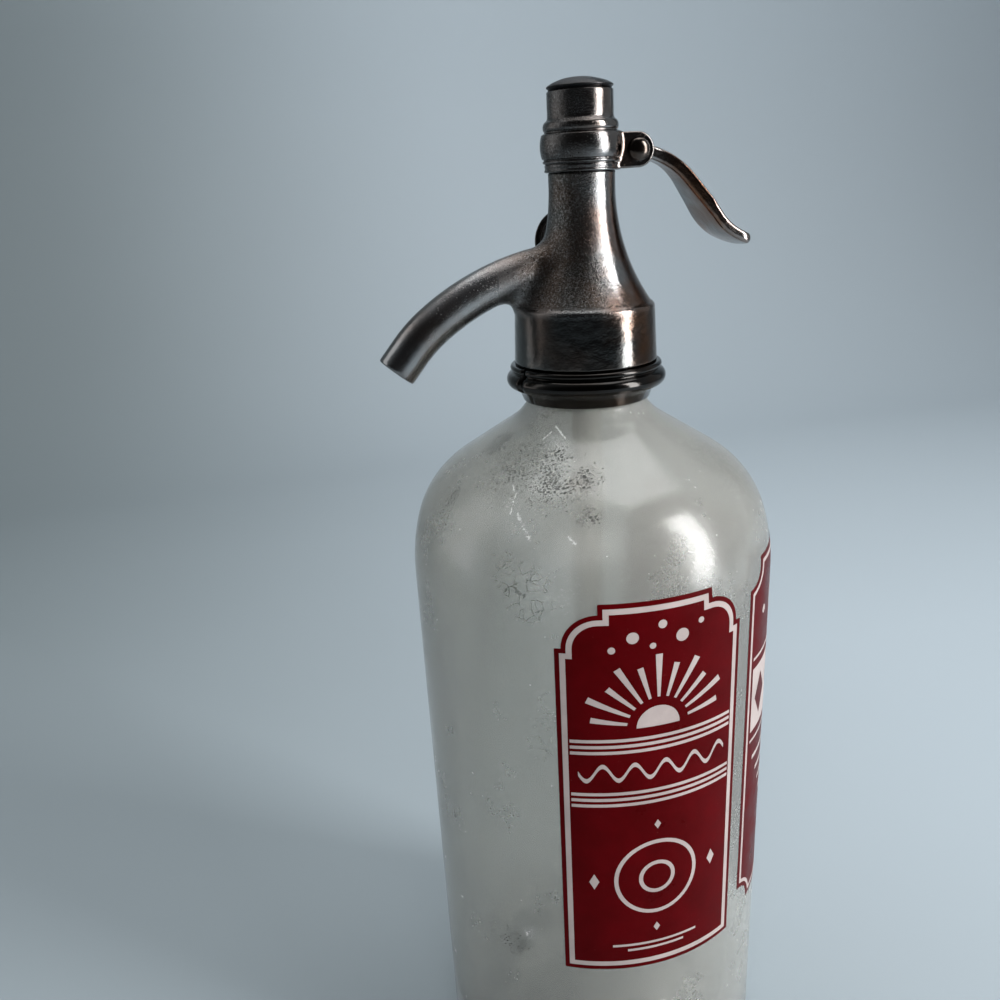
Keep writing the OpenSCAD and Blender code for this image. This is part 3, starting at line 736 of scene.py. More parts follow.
PEWTER = make_metal("Tarnished pewter", (0.33, 0.332, 0.335), (0.055, 0.057, 0.054),
                    (0.19, 0.085, 0.040), Cloud_size=95.0, Grain_size=2100.0, Pit_amount=1.0,
                    Grit=1.0, Warmth=0.85, Polish=0.10, Dullness=0.20, bump=0.36)
BARREL = make_metal("Rubbed plate", (0.25, 0.25, 0.252), (0.052, 0.051, 0.050),
                    (0.17, 0.09, 0.05), Cloud_size=150.0, Grain_size=2400.0, Pit_amount=0.8,
                    Grit=0.9, Warmth=0.5, Polish=0.08, Dullness=0.16, bump=0.25)
RING_METAL = make_metal("Blackened ring", (0.085, 0.082, 0.080), (0.024, 0.023, 0.022),
                        (0.10, 0.055, 0.03), Cloud_size=130.0, Grain_size=2400.0, Pit_amount=0.7,
                        Grit=0.7, Warmth=0.4, Polish=0.11, Dullness=0.16, bump=0.2)
CAP_METAL = make_metal("Blackened cap", (0.045, 0.045, 0.048), (0.018, 0.018, 0.019),
                       (0.04, 0.03, 0.022), Cloud_size=260.0, Grain_size=2400.0, Pit_amount=0.6,
                       Grit=0.8, Warmth=0.2, Polish=0.22, Dullness=0.3, bump=0.3)
BRASS = make_metal("Turned brass", (0.62, 0.47, 0.23), (0.32, 0.22, 0.10),
                   (0.35, 0.17, 0.08), Cloud_size=220.0, Grain_size=2400.0, Pit_amount=0.3,
                   Grit=0.3, Warmth=0.3, Polish=0.2, Dullness=0.3, bump=0.1)
STEEL = make_metal("Turned steel", (0.58, 0.58, 0.60), (0.34, 0.33, 0.33),
                   (0.35, 0.24, 0.15), Cloud_size=240.0, Grain_size=2400.0, Pit_amount=0.25,
                   Grit=0.3, Warmth=0.15, Polish=0.18, Dullness=0.25, bump=0.1)
GLASS = make_cloudy_glass()
GLASS_INSIDE = make_glass_inside()
TUBE_GLASS = make_tube_glass()
RED = make_enamel("Red enamel", (0.060, 0.0002, 0.0008), (0.095, 0.0004, 0.002), (0.16, 0.03, 0.03))
WHITE = make_enamel("White enamel", (0.40, 0.335, 0.32), (0.52, 0.445, 0.425), (0.30, 0.18, 0.17))
RUBBER = make_rubber()


# ---------------------------------------------------------------- bottle

def shoulder_points(inset, steps):
    """Section of the glass from the side's end to the lip, moved inward by the inset."""
    turn, slope = math.asin(0.28), math.degrees(math.asin(0.8432))
    first = (BOTTLE_R - ARC_1, SHOULDER_Z)
    second = (first[0] + (ARC_1 - ARC_2) * math.cos(turn), first[1] + (ARC_1 - ARC_2) * math.sin(turn))
    third = (NECK_R + NECK_ARC, LIP_Z - 9.9)
    points = arc(first, ARC_1 - inset, 0, math.degrees(turn), steps)
    points += arc(second, ARC_2 - inset, math.degrees(turn), slope, steps)[1:]
    points += arc(third, NECK_ARC + inset, 180 + slope, 180, steps)
    return points


def glass_radius(z):
    """Outer radius of the glass at a height on the side or the shoulder."""
    if z < SHOULDER_Z:
        return HEEL_R + (BOTTLE_R - HEEL_R) * (z - HEEL_ARC) / (SHOULDER_Z - HEEL_ARC)
    return BOTTLE_R - ARC_1 + math.sqrt(ARC_1 ** 2 - (z - SHOULDER_Z) ** 2)


def make_bottle():
    floor_arc, floor_z, punt_h, rest_r = 12.0, 12.0, 6.0, 31.0
    bead_r, bead_low, bead_high, lip_arc = 14.0, 216.0, 219.0, 0.6
    inner_r = HEEL_R - WALL
    sphere = (rest_r ** 2 + punt_h ** 2) / (2 * punt_h)
    spread = math.degrees(math.asin(rest_r / sphere))
    outside = arc((0, punt_h - sphere), sphere, 89.6, 90 - spread, 14)
    outside += arc((HEEL_R - HEEL_ARC, HEEL_ARC), HEEL_ARC, -90, 0, 12)
    outside += line((HEEL_R, HEEL_ARC), (BOTTLE_R, SHOULDER_Z), 8)[1:-1]
    outside += shoulder_points(0, 14)
    outside += [(NECK_R, bead_low - 1)] + arc((bead_r, bead_low), 1, -90, 0, 5)
    outside += arc((bead_r, bead_high), 1, 0, 90, 5) + [(NECK_R, bead_high + 1)]
    outside += arc((NECK_R - lip_arc, LIP_Z - lip_arc), lip_arc, 0, 90, 4)
    inside = arc((NECK_R - WALL + lip_arc, LIP_Z - lip_arc), lip_arc, 90, 180, 4)
    inside += shoulder_points(WALL, 14)[::-1]
    inside += line((BOTTLE_R - WALL, SHOULDER_Z), (inner_r, floor_z + floor_arc), 6)[1:-1]
    inside += arc((inner_r - floor_arc, floor_z + floor_arc), floor_arc, 0, -90, 10)
    inside += [(18.0, floor_z), (6.0, floor_z), (0.12, floor_z)]

    def shake(r, a, z):
        """The inner face of blown glass isn't quite true."""
        wave = (0.30 * np.sin(2 * a + z / 23) + 0.16 * np.sin(3 * a - z / 15 + 1.3)
                + 0.10 * np.sin(5 * a + z / 9))
        is_inner = np.zeros_like(r)
        is_inner[len(outside):] = 1
        fade = np.clip((r - 20) / 12, 0, 1) * np.clip((z - 16) / 12, 0, 1)
        return (wave - 0.2 * np.abs(wave.min())) * is_inner * fade

    around = 160
    bottle = lathe("glass_bottle", outside + inside, GLASS, around, ["bottle"], shake)
    bottle.data.materials.append(GLASS_INSIDE)
    slots = np.zeros(len(bottle.data.polygons), np.int32)
    slots[len(outside) * around:-around] = 1
    bottle.data.polygons.foreach_set("material_index", slots)


def make_dip_tube():
    foot, collar, edge, bore, outer = 19.0, 224.5, 0.5, 2.5, 4
    outside = [(bore + edge, foot)] + arc((outer - edge, foot + edge), edge, -90, 0, 3)
    outside += line((outer, foot), (outer, collar - 1.2), 6)[1:]
    outside += arc((outer, collar), 1.1, -80, 90, 10)
    inside = arc((bore + edge, collar + 0.6), edge, 90, 180, 3)
    inside += line((bore, collar - 1), (bore, foot + 1), 6)
    inside += arc((bore + edge, foot + edge), edge, 180, 260, 3)
    lathe("dip_glass_tube", outside + inside, TUBE_GLASS, 48, ["dip_tube"])


# ---------------------------------------------------------------- neck ring

def ring_outline():
    """Section of the split ring, from the inside of its skirt round to the thread."""
    outline = [(16.3, 205.4), (16.5, 205.2), (16.7, 205.25), (17.4, 207.2), (18.3, 208.1)]
    outline += arc((18.75, 210.6), 2.15, -70, 60, 14)
    outline += [(19.5, 212.65), (19.3, 212.85)] + arc((19.0, 213.72), 0.85, -70, 90, 9)
    outline += [(16.8, 214.62), (16.6, 214.9), (16.6, 221.0), (16.3, 221.3), (15.3, 221.3),
                (15.3, 215.0), (14.95, 214.95), (13.95, 214.9), (13.95, 210.8), (14.55, 207.8)]
    return outline


def make_ring_half(name, start, replaced):
    """Half of the neck ring; its proud beads round off towards the seam."""
    outline = np.array(ring_outline())
    length, around, body_r = 180 - SEAM_GAP, 110, 16.9
    close = np.array([0, 0.25, 0.6, 1.1, 1.7, 2.5, 3.4])
    blunt = close[-1]
    between = np.linspace(blunt, length - blunt, around)[1:-1]
    ends = np.concatenate([close, between, length - close[::-1]])
    rows = []
    for turn in ends:
        share = min(turn, length - turn) / blunt
        proud = math.sqrt(max(0.0, 1 - (1 - min(share, 1.0)) ** 2))
        r = outline[:, 0].copy()
        over = r > body_r
        r[over] = body_r + (r[over] - body_r) * (0.45 + 0.55 * proud)
        a = math.radians(start + SEAM_GAP / 2 + turn)
        rows.append(np.stack([r * math.cos(a), r * math.sin(a), outline[:, 1]], -1))
    count = len(outline)
    last = (len(ends) - 1) * count
    faces = []
    for low in range(0, last, count):
        for k in range(count):
            after = (k + 1) % count
            faces.append((low + k, low + count + k, low + count + after, low + after))
    faces.append(tuple(range(count)))
    faces.append(tuple(last + k for k in range(count - 1, -1, -1)))
    ring = piece(name, np.concatenate(rows), faces, RING_METAL, replaces=[replaced])
    ring.data.set_sharp_from_angle(angle=math.radians(50))


# ---------------------------------------------------------------- head casting

def head_outline():
    """Section of the casting: collar, bell, stalk, hoops, swelled band and cap tube."""
    bell_low, bell_high, stalk = 229.5, 258.0, 8.3
    bell_arc = ((17.2 - stalk) ** 2 + (bell_high - bell_low) ** 2) / (2 * (17.2 - stalk))
    outline = [(0, 214.7), (18.6, 214.7), (18.05, 228.5), (17.9, 229.0), (17.4, 229.5)]
    for t in np.linspace(0, 1, 26):
        z = bell_low + (bell_high - bell_low) * t
        outline.append((stalk + bell_arc - math.sqrt(bell_arc ** 2 - (bell_high - z) ** 2), z))
    outline += [(stalk, 261.35), (8.6, 261.55)] + arc((8.9, 261.95), 0.34, -110, 80, 7)
    outline += [(9.05, 262.5), (9.15, 263.2), (8.9, 263.6)] + arc((9.2, 264.0), 0.36, -100, 80, 7)
    outline += [(9.1, 264.5)] + arc((1.15, 267.55), 9.0, -18.0, 18.0, 14)
    outline += [(9.25, 270.55), (8.8, 270.85), (9.1, 271.15), (9.28, 271.6), (9.28, 272.25),
                (9.15, 272.75), (8.9, 273.15), (8.5, 273.45), (8.2, 273.9), (8.12, 274.5)]
    outline += [(8.12, 279.9), (7.9, 280.2), (0, 280.2)]
    return outline


# Bores of the casting about its axis as radius, foot and top, from the collar to the cap's thread
HEAD_BORES = ((16.7, 200, 226.4), (7.05, 220, 231.4), (6.0, 230, 247), (2.5, 240, 250),
              (5.0, 249.5, 263), (6.0, 262, 290))
HEAD_SECTION = section_table(head_outline(), 24.0, 200.0, 285.0)
SPOUT_R, SPOUT_BORE_R, SPOUT_END_SLOPE = 5.15, 2.6, 50.4


def spout_field(x, y, z, radius):
    """Distance from a round bar along the spout's centre line, and from a cut past its end."""
    c1, r1, r2 = (-0.5, LIP_Z - 46.9), 65.0, 40.0
    c2 = (c1[0] - (r1 - r2) * 0.6, c1[1] + (r1 - r2) * 0.8)
    join, final = math.atan2(0.6, 0.8), math.radians(SPOUT_END_SLOPE)
    best = np.full(np.shape(x), 1e9)
    for centre, bend, low, high in ((c1, r1, 0.0, join), (c2, r2, join, final)):
        dx, dz = x - centre[0], z - centre[1]
        turn = np.clip(np.arctan2(-dx, dz), low, high)
        px, pz = centre[0] - bend * np.sin(turn), centre[1] + bend * np.cos(turn)
        best = np.minimum(best, (x - px) ** 2 + (z - pz) ** 2)
    end = (c2[0] - r2 * math.sin(final), c2[1] + r2 * math.cos(final))
    way = (-math.cos(final), -math.sin(final))
    past = (x - end[0]) * way[0] + (z - end[1]) * way[1]
    t = np.clip(past, 0, 9)
    best = np.minimum(best, (x - end[0] - t * way[0]) ** 2 + (z - end[1] - t * way[1]) ** 2)
    return np.sqrt(best + y * y) - radius, past - 6.0


def head_field(x, y, z):
    """Distance from the whole casting, bores and slot cut out."""
    solid = HEAD_SECTION(np.hypot(x, y), z)
    tube = round_cut(*spout_field(x, y, z, SPOUT_R), 0.55)
    solid = round_union(solid, tube, 3.2 + 3.0 * np.clip((238 - z) / 6, 0, 1))
    from_plug, boss_face = np.hypot(x, z - PLUG_Z), 13.2
    boss = np.maximum(from_plug - 7.2, np.maximum(y - boss_face, -y))
    solid = round_union(solid, boss, 2.2)
    lug = np.hypot(x - np.clip(x, 6.8, PIVOT[0]), z - PIVOT[1]) - 4.2
    lug = round_cut(lug, np.abs(np.abs(y) - 4.325) - 1.525, 0.45)
    solid = round_union(solid, lug, 0.9)
    lever_slot = np.maximum(np.abs(y) - 2.8, np.maximum(np.abs(z - 266.6) - 4.0, 2.0 - x))
    pin_hole = np.hypot(x - PIVOT[0], z - PIVOT[1]) - 1.62
    plug_seat = np.maximum(from_plug - 8.3, boss_face - y)
    cross_passage = np.maximum(from_plug - 3.55, 4.0 - y)
    core = spout_field(x, y, z, SPOUT_BORE_R)[0]
    for other in [lever_slot, pin_hole, plug_seat, cross_passage,
                  *(upright(x, y, z, *bore) for bore in HEAD_BORES)]:
        core = np.minimum(core, other)
    return round_cut(solid, -core, 0.18)


def make_head():
    """The casting below a seam under the hoops, and the rubbed spring barrel above it."""
    seam_z = 261.55

    def lower(x, y, z):
        return np.maximum(head_field(x, y, z), z - seam_z)

    def upper(x, y, z):
        return np.maximum(head_field(x, y, z), seam_z - z)

    spans = (np.concatenate([span(-56, -12, 0.55), span(-11.45, 21, 0.45)]),
             span(-20.2, 20.2, 0.47), span(209, 263, 0.47))
    skin("head_casting", lower, spans, PEWTER, replaces=["head_body"])
    spans = (span(-12, 19, 0.22), span(-12, 12, 0.22), span(260.4, 282, 0.2))
    skin("spring_barrel", upper, spans, BARREL)


# ---------------------------------------------------------------- lever and small pieces

def lever_path():
    """Centre line of the arm in the side view, from the pivot to the thumb end."""
    run_start = (18 * 0.8, -18 + 18 * 0.6)
    run_end = (run_start[0] + 12 * 0.6, run_start[1] - 12 * 0.8)
    curl = (run_end[0] + 16 * 0.8, run_end[1] + 16 * 0.6)
    path = arc((0, -18), 18, 90, 90 - 53.13, 12)
    path += arc(curl, 16, 180 + 36.87, 180 + 73.74, 12)
    return path


LEVER_PATH = lever_path()


def lever_field(x, y, z):
    """Distance from the whole lever: tapering arm with a dished thumb end, hub, and round finger."""
    x, z = x - PIVOT[0], z - PIVOT[1]
    arm, along = np.full(np.shape(x), 1e9), np.zeros(np.shape(x))
    finger_reach, tip_x = 9.5, 27.9
    dish = 0.55 * np.clip((x - 18) / 6, 0, 1) * np.clip(1 - (y / 7.0) ** 2, 0, 1)
    for (ax, az), (bx, bz) in zip(LEVER_PATH, LEVER_PATH[1:]):
        ex, ez = bx - ax, bz - az
        t = np.clip(((x - ax) * ex + (z + dish - az) * ez) / (ex * ex + ez * ez), 0, 1)
        gap = np.hypot(x - ax - t * ex, z + dish - az - t * ez)
        along = np.where(gap < arm, ax + t * ex, along)
        arm = np.minimum(arm, gap)
    arm = arm - (1.62 - 0.32 * np.clip((along - 8) / 20, 0, 1))
    hub, finger = np.hypot(x, z) - 3.35, np.hypot(x + finger_reach, z) - 1.98
    shank = np.abs(z) - (1.3 + 0.39 * np.clip(x + 6, 0, 4.4))
    shank = np.maximum(shank, np.maximum(x, -x - finger_reach))
    side = round_union(np.minimum(hub, arm), np.minimum(finger, shank), 0.6)
    half = 2.5 + 4.5 * np.clip((x - 7.5) / 12.5, 0, 1) ** 1.3
    corner = np.hypot(np.maximum(x - tip_x, 0), np.maximum(np.abs(y) - 2.5, 0)) - 4.5
    plan = np.maximum(np.abs(y) - half, np.where(x > 24, corner, -1.0))
    pin_hole = 1.65 - np.hypot(x, z)
    return np.maximum(round_cut(side, plan, 0.75), pin_hole)


def make_lever():
    spans = (span(-1, 47, 0.3), span(-8.2, 8.2, 0.3), span(238, 271, 0.3))
    skin("thumb_lever", lever_field, spans, PEWTER, LEVER, ["lever"])


def make_pin():
    def lay_down(points):
        """Turns the upright pin so that it lies along Y at the pivot."""
        x, y, z = points.T
        return np.stack([PIVOT[0] + x, -z, PIVOT[1] + y], -1)

    section = [(0, -6.9), (1.2, -6.9), (1.9, -6.55), (1.95, -6.15), (1.6, -5.9), (1.6, 5.87),
               (2.7, 5.87), (2.78, 6.2), (2.5, 6.6), (1.9, 6.95), (1.0, 7.15), (0, 7.2)]
    dome("hinge_pin", section, RING_METAL, 40, ["lever_pin"], lay_down)


def make_cap():
    def dent(points):
        """The thin dome is a little knocked about."""
        x, y, z = points.T
        hollow = sum(deep * np.exp(-((x - at_x) ** 2 + (y - at_y) ** 2) / wide)
                     for deep, at_x, at_y, wide in ((0.22, -3.2, -4.6, 5.0), (0.16, 3.5, -2.4, 3.0),
                                                    (0.12, 1.0, 4.5, 6.0)))
        ripple = 0.03 * np.sin(9 * np.arctan2(y, x)) * np.clip((np.hypot(x, y) - 6) / 2, 0, 1)
        top, rim = np.clip((z - 281.3) / 0.5, 0, 1), np.clip((z - 280.6) / 0.3, 0, 1)
        return np.stack([x, y, z - hollow * top + ripple * rim], -1)

    section = [(0, 277.0), (4.9, 277.0), (5.9, 277.3), (5.95, 280.15), (7.7, 280.2), (7.7, 280.7)]
    section += arc((7.88, 281.0), 0.26, -90, 70, 7)
    section += [(7.6, 281.5), (6.9, 281.9), (6.2, 282.2), (5.4, 282.5), (4.6, 282.74), (3.8, 282.93),
                (3.0, 283.06), (2.2, 283.15), (1.4, 283.2), (0.7, 283.23), (0, 283.24)]
    dome("barrel_cap", section, CAP_METAL, 96, ["spring_cap"], dent)


def make_plug():
    def field(x, y, z):
        r = np.hypot(x, z - PLUG_Z)
        head = round_cut(r - 8.6, np.abs(y - 14.6) - 0.95, 0.35)
        crown = np.sqrt(x ** 2 + (z - PLUG_Z) ** 2 + (y + 12.0) ** 2) - 27.5
        shank = np.maximum(r - 3.45, np.abs(y - 10.5) - 3.3)
        slot = np.maximum(np.abs(x) - 0.8, 14.6 - y)
        return np.maximum(np.minimum(np.maximum(head, crown), shank), -slot)

    spans = (span(-9.2, 9.2, 0.3), span(6.4, 16.4, 0.25), span(235.2, 253.8, 0.3))
    skin("passage_plug", field, spans, BARREL, replaces=["side_plug"])


# ---------------------------------------------------------------- spring

def make_spring_tree():
    """A wire coil between two heights, with its end turns drawn closed."""
    tree = bpy.data.node_groups.new("Wire coil", "GeometryNodeTree")
    tree.interface.new_socket("Geometry", in_out="INPUT", socket_type="NodeSocketGeometry")
    sizes = {"Coil radius": 0.004, "Wire radius": 0.0006, "Turns": 5.0, "Foot": 0.27064,
             "Height": 0.00962}
    for label, size in sizes.items():
        socket = tree.interface.new_socket(label, in_out="INPUT", socket_type="NodeSocketFloat")
        socket.default_value = size
    tree.interface.new_socket("Geometry", in_out="OUTPUT", socket_type="NodeSocketGeometry")
    start, end = tree.nodes.new("NodeGroupInput"), tree.nodes.new("NodeGroupOutput")
    coil_r, wire_r, turns, foot, height = (Signal(tree, s) for s in start.outputs[1:6])
    wire = node(tree, "GeometryNodeCurvePrimitiveLine", {"Start": (0, 0, 0), "End": (0, 0, 1)})
    wire = node(tree, "GeometryNodeResampleCurve", {"Curve": wire.outputs[0], "Count": 181})
    share = Signal(tree, node(tree, "GeometryNodeSplineParameter").outputs["Factor"])
    turn = share * turns * (2 * math.pi)
    rise = share.spread(0.0, 1.0, smooth=True) * 0.7 + share * 0.3
    place = node(tree, "ShaderNodeCombineXYZ",
                 {0: maths(tree, "COSINE", turn) * coil_r, 1: maths(tree, "SINE", turn) * coil_r,
                  2: rise * height + foot})
    wire = node(tree, "GeometryNodeSetPosition",
                {"Geometry": wire.outputs[0], "Position": place.outputs[0]})
    ring = node(tree, "GeometryNodeCurvePrimitiveCircle", {"Resolution": 14, "Radius": wire_r})
    wire = node(tree, "GeometryNodeCurveToMesh",
                {"Curve": wire.outputs[0], "Profile Curve": ring.outputs[0], "Fill Caps": True})
    connect(tree, wire.outputs[0], end.inputs[0])
    return tree


def make_spring():
    holder = bpy.data.objects.new("spring_source", bpy.data.meshes.new("spring_source"))
    holder.modifiers.new("Wire coil", "NODES").node_group = make_spring_tree()
    spring = finish_piece("valve_spring", evaluated_mesh(holder), STEEL, replaces=["return_spring"])
    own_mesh(spring)


# ---------------------------------------------------------------- printed labels

# Each coat of enamel as its finish, its lift off the glass and its thickness
RED_COAT, WHITE_COAT = (RED, 0.02, 0.06), (WHITE, 0.085, 0.03)
LABEL_R = 48.4
# Turn of each label's middle from +X, in degrees
FRONT_TURN, SIDE_TURN = -90, 0


def label_mesh(name, loops):
    """Fills flat loops, given in millimetres across and up, and cuts them to bend with the glass."""
    cut_across, cut_up, shoulder = 1.4, 1.2, 150.0
    curve = bpy.data.curves.new(name, "CURVE")
    curve.dimensions = "2D"
    curve.fill_mode = "FRONT"
    for loop in loops:
        spline = curve.splines.new("POLY")
        spline.points.add(len(loop) - 1)
        for target, (u, v) in zip(spline.points, loop):
            target.co = (u, v, 0, 1)
        spline.use_cyclic_u = True
    mesh = evaluated_mesh(bpy.data.objects.new(name, curve))
    flat = bmesh.new()
    flat.from_mesh(mesh)
    bmesh.ops.remove_doubles(flat, verts=flat.verts, dist=1e-4)
    us, vs = ([v.co[axis] for v in flat.verts] for axis in (0, 1))
    cuts = [((u, 0, 0), (1, 0, 0)) for u in np.arange(min(us) + cut_across, max(us), cut_across)]
    cuts += [((0, v, 0), (0, 1, 0)) for v in np.arange(shoulder, max(vs), cut_up) if v > min(vs)]
    for at, across in cuts:
        parts = flat.verts[:] + flat.edges[:] + flat.faces[:]
        bmesh.ops.bisect_plane(flat, geom=parts, plane_co=at, plane_no=across, dist=1e-5)
    for face in flat.faces:
        if face.normal.z < 0:
            face.normal_flip()
    return mesh, flat


def wrap(name, loops, middle_turn, coat):
    """Lays flat loops round the glass about a turn from +X in degrees, as a thin closed coat."""
    material, lift, thick = coat
    mesh, flat = label_mesh(name, loops)
    made = bmesh.ops.extrude_face_region(flat, geom=flat.faces[:])
    top = {v for v in made["geom"] if isinstance(v, bmesh.types.BMVert)}
    for vertex in flat.verts:
        a = math.radians(middle_turn) + vertex.co.x / LABEL_R
        r = glass_radius(vertex.co.y) + lift + (thick if vertex in top else 0)
        vertex.co = Vector((r * math.cos(a), r * math.sin(a), vertex.co.y)) * MM
    bmesh.ops.recalc_face_normals(flat, faces=flat.faces)
    flat.to_mesh(mesh)
    flat.free()
    finish_piece(name, mesh, material)
    mesh.set_sharp_from_angle(angle=math.radians(40))


def frame_loop(inset):
    """Outline of the front panel with stepped, rounded shoulders, moved inward by the inset."""
    w, low, ledge, top, step, bend = 24.9, 59.3, 155.1, 166.4, 1.6, 8.7
    right = [(w - inset, low + inset), (w - inset, ledge - inset), (w - step - inset, ledge - inset)]
    right += arc((w - step - bend, ledge), bend - inset, 0, 90, 10)
    right += [(w - step - bend - inset, ledge + bend - inset), (w - step - bend - inset, top - inset)]
    return both_halves(right)


def bar_loop(half, low, high):
    return [(-half, low), (half, low), (half, high), (-half, high)]


def diamond_loop(u, v, half, tall):
    return [(u - half, v), (u, v - tall), (u + half, v), (u, v + tall)]


def disc_loop(u, v, radius, steps=28):
    return [(u + radius * math.cos(t), v + radius * math.sin(t))
            for t in np.linspace(0, 2 * math.pi, steps, endpoint=False)]


def ray_loop(u, v, turn, half_turn, near, far):
    """One tapering ray of the fan."""
    corners = ((near, -half_turn), (far, -half_turn), (far, half_turn), (near, half_turn))
    return [(u + r * math.sin(math.radians(turn + d)), v + r * math.cos(math.radians(turn + d)))
            for r, d in corners]


def wave_loop(half, middle, height, length, thick):
    """A running wave of even thickness between two ends."""
    wave = [(u, middle + height * math.sin(2 * math.pi * u / length))
            for u in np.linspace(-half, half, 121)]
    return [(u, v - thick / 2) for u, v in wave] + [(u, v + thick / 2) for u, v in wave[::-1]]


def make_front_label():
    wrap("front_panel_red", [frame_loop(0)], FRONT_TURN, RED_COAT)
    bands = [bar_loop(21.85, top - n * 1.68 - 0.86, top - n * 1.68)
             for top in (130.4, 115.1) for n in range(3)]
    fan_z, ring_z = 133.0, 88
    fan = [ray_loop(0, fan_z, turn, 2.6, 8.0, 17.0 + 2.5 * (n % 2))
           for n, turn in enumerate(range(-80, 81, 16))]
    fan += [[(u, max(v, fan_z)) for u, v in disc_loop(0, fan_z, 5.6, 40)]]
    fan += [disc_loop(*dot) for dot in ((-6.5, 157.5, 1.5), (0.8, 160.2, 1.1), (6.0, 156.4, 1.7),
                                        (-1.6, 154.9, 0.8), (11.2, 159.0, 0.8), (-11.5, 154.6, 0.9))]
    field = [disc_loop(0, ring_z, 11.5, 56), disc_loop(0, ring_z, 10.4, 56)]
    field += [disc_loop(0, ring_z, 5.0, 40), disc_loop(0, ring_z, 3.9, 40)]
    field += [diamond_loop(u, ring_z, 1.3, 2.4) for u in (-16.6, 16.6)]
    field += [diamond_loop(0, v, 0.9, 1.4) for v in (104.2, 71.8)]
    field += [bar_loop(12.0, 66.6, 67.3), bar_loop(8.0, 64.9, 65.6)]
    for name, loops in (("front_frame_line", [frame_loop(1.2), frame_loop(2.6)]),
                        ("front_triple_bands", bands), ("front_fan", fan),
                        ("front_wave", [wave_loop(20.0, 120.7, 2.1, 8.0, 1.25)]),
                        ("front_field_marks", field)):
        wrap(name, loops, FRONT_TURN, WHITE_COAT)


def side_loop(inset):
    """Outline of the side panel, with corners cut away in quarter circles."""
    w, low, high, bite = 46.0, 61.7, 167.2, 7.0
    r = bite + inset
    right = arc((w, low), r, 180, 90, 8) + arc((w, high), r, 270, 180, 8)
    return both_halves([(min(u, w - inset), min(max(v, low + inset), high - inset)) for u, v in right])


def make_side_label():
    wrap("side_panel_red", [side_loop(0)], SIDE_TURN, RED_COAT)
    band = [bar_loop(42.4, 117.5, 136.5)]
    band += [diamond_loop(u, 127, 4.2, 6.4) for u in range(-36, 37, 12)]
    marks = [bar_loop(42.4, 139.0, 139.8), bar_loop(42.4, 114.2, 115.0)]
    marks += [bar_loop(40.0 - 3.4 * n, 108.0 - 5.2 * n, 109.2 - 5.2 * n) for n in range(7)]
    marks += [disc_loop(u, 151.5, r, steps) for r, steps in ((4.4, 36), (3.2, 32)) for u in (-24, 0, 24)]
    marks += [disc_loop(u, 151.5, 1.2, 20) for u in (-36, -12, 12, 36)]
    for name, loops in (("side_frame_line", [side_loop(1.3), side_loop(2.3)]),
                        ("side_pale_band", band), ("side_marks", marks)):
        wrap(name, loops, SIDE_TURN, WHITE_COAT)


# ---------------------------------------------------------------- studio

def make_stage():
    """A pale floor that sweeps up behind the siphon, its colour darker to the left and paler to the
    right and towards the camera: painted light and shade.
    """
    half, front, depth, height, bend = 2.2, -1.6, 1.1, 1.5, 0.45
    profile = [(front, 0.0)] + [(depth - bend + bend * math.sin(t), bend - bend * math.cos(t))
                                for t in np.linspace(0, math.pi / 2, 17)] + [(depth, height)]
    faces = [(2 * k, 2 * k + 2, 2 * k + 3, 2 * k + 1) for k in range(len(profile) - 1)]
    mesh = bpy.data.meshes.new("studio_sweep")
    mesh.from_pydata([(x, y, z) for y, z in profile for x in (half, -half)], [], faces)
    mesh.polygons.foreach_set("use_smooth", [True] * len(faces))
    sweep = bpy.data.objects.new("studio_sweep", mesh)
    bpy.context.scene.collection.objects.link(sweep)
    finish = Finish("Pale sweep", (0.62, 0.66, 0.68))
    tree, place = finish.tree, finish.place
    x, y, z = split(tree, place)
    # Painted light and shade: paler to the right and on the floor towards the camera, less pale in front
    # where the key lamp lights the floor.
    across = (x + noise(tree, place, 2.0, 2.0) * 0.1).spread(-0.35, 0.30, smooth=True)
    near, painted_shade_under_key = y.spread(0.5, -0.05, 0.0, 0.55), y.spread(0.20, -0.15, 0.0, 0.32)
    pale = across.over(near) - painted_shade_under_key * across
    finish.feed(Base_Color=coats(tree, (0.215, 0.255, 0.272), (pale, (0.45, 0.52, 0.57))),
                Roughness=0.7)
    mesh.materials.append(finish.material)


def soft_light(name, place, size, power, mirrored=True):
    """An area light aimed at the middle of the bottle."""
    data = bpy.data.lights.new(name, "AREA")
    data.shape = "RECTANGLE"
    data.size, data.size_y = size
    data.energy = power
    light = bpy.data.objects.new(name, data)
    light.location = place
    light.rotation_mode = "QUATERNION"
    light.rotation_quaternion = (Vector((0, 0, 0.16)) - Vector(place)).to_track_quat("-Z", "Y")
    light.visible_glossy = mirrored
    bpy.context.scene.collection.objects.link(light)


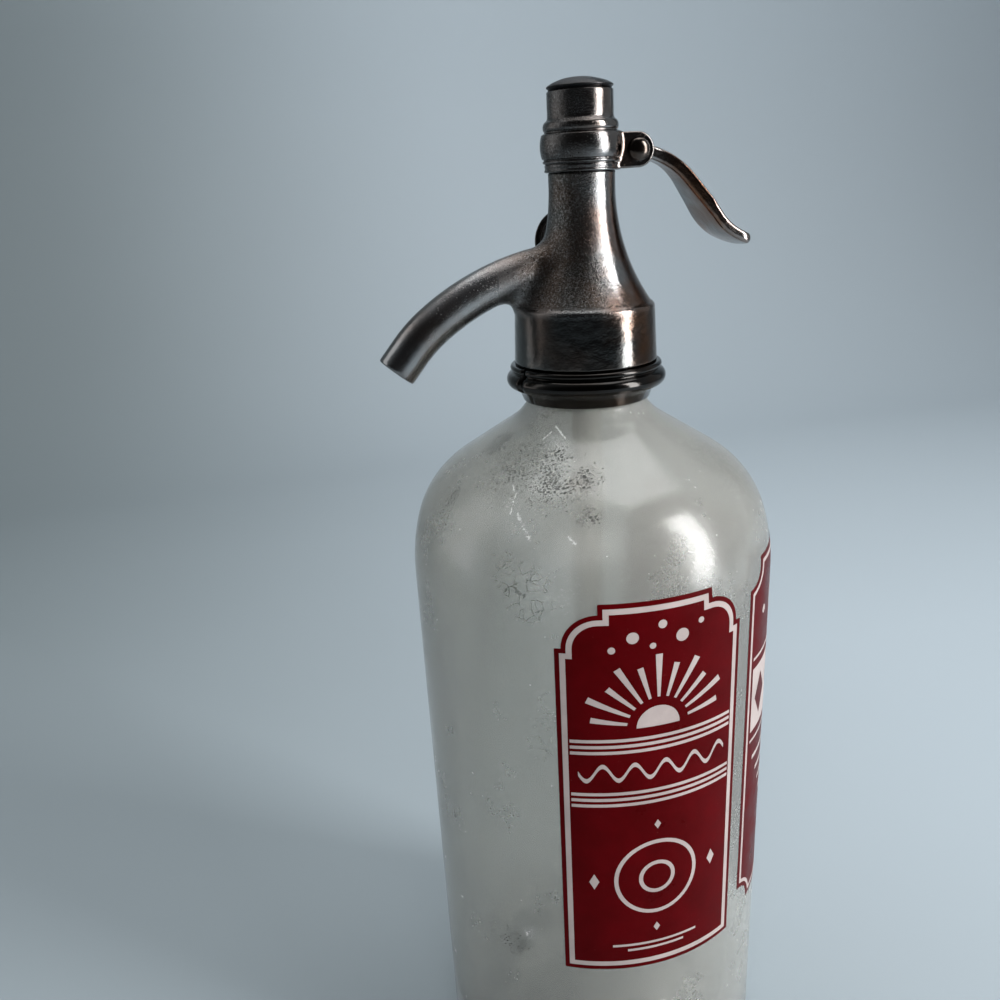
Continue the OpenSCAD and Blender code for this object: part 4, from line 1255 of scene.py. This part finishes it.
def make_studio():
    """A dim room that is darker towards the camera, and four soft lights."""
    world = bpy.data.worlds.new("Studio")
    world.use_nodes = True
    tree = world.node_tree
    way = node(tree, "ShaderNodeTexCoord").outputs["Generated"]
    front = vector_maths(tree, "DOT_PRODUCT", way, (-0.23, -0.97, 0.0)).spread(-0.2, 0.75, smooth=True)
    room = coats(tree, (0.265, 0.29, 0.305), (front, (0.022, 0.022, 0.023)))
    connect(tree, room, tree.nodes["Background"].inputs["Color"])
    bpy.context.scene.world = world
    soft_light("Key", (0.76, -0.60, 0.42), (0.28, 1.0), 14.0)
    soft_light("Fill", (-1.08, 0.40, 0.6), (0.7, 1.2), 2.5)
    soft_light("Top", (0.2, 0.2, 1.3), (1.2, 0.8), 8.0)
    soft_light("Front", (-0.3, -1.1, 0.9), (0.9, 0.9), 6.0, mirrored=False)


def make_camera():
    pitch, roll = math.radians(18.43), math.radians(2.99)
    flat = Vector((0.2317, 0.9728, 0)).normalized()
    forward = Vector((flat.x * math.cos(pitch), flat.y * math.cos(pitch), -math.sin(pitch)))
    level = forward.cross(Vector((0, 0, 1))).normalized()
    upward = level.cross(forward)
    right = level * math.cos(roll) - upward * math.sin(roll)
    up = level * math.sin(roll) + upward * math.cos(roll)
    data = bpy.data.cameras.new("Camera")
    data.sensor_width, data.lens = 36.0, 34.2
    data.clip_start, data.clip_end = 0.01, 20
    camera = bpy.data.objects.new("Camera", data)
    turned = Matrix((right, up, -forward)).transposed().to_4x4()
    turned.translation = Vector((-81.38, -236.35, 259.88)) * MM
    camera.matrix_world = turned
    bpy.context.scene.collection.objects.link(camera)
    bpy.context.scene.camera = camera


CAD_FINISHES = {
    RUBBER: ("mouth_gasket", "tube_bush", "head_gasket", "valve_rubber", "stem_packing",
             "side_plug_washer"),
    BRASS: ("tube_ferrule", "valve_seat", "valve_cup", "packing_washer", "gland_nut"),
    STEEL: ("valve_stem",),
}


def finish_cad_nodes():
    for material, names in CAD_FINISHES.items():
        for name in names:
            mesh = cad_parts[name].data
            mesh.materials.clear()
            mesh.materials.append(material)


make_camera()
make_studio()
make_stage()
finish_cad_nodes()
make_bottle()
make_dip_tube()
make_ring_half("neck_ring_front", 180 + SEAM_TURN, "split_ring_front")
make_ring_half("neck_ring_back", SEAM_TURN, "split_ring_back")
make_head()
make_lever()
make_pin()
make_cap()
make_plug()
make_spring()
make_front_label()
make_side_label()

view = bpy.context.scene.view_settings
view.view_transform = "Standard"
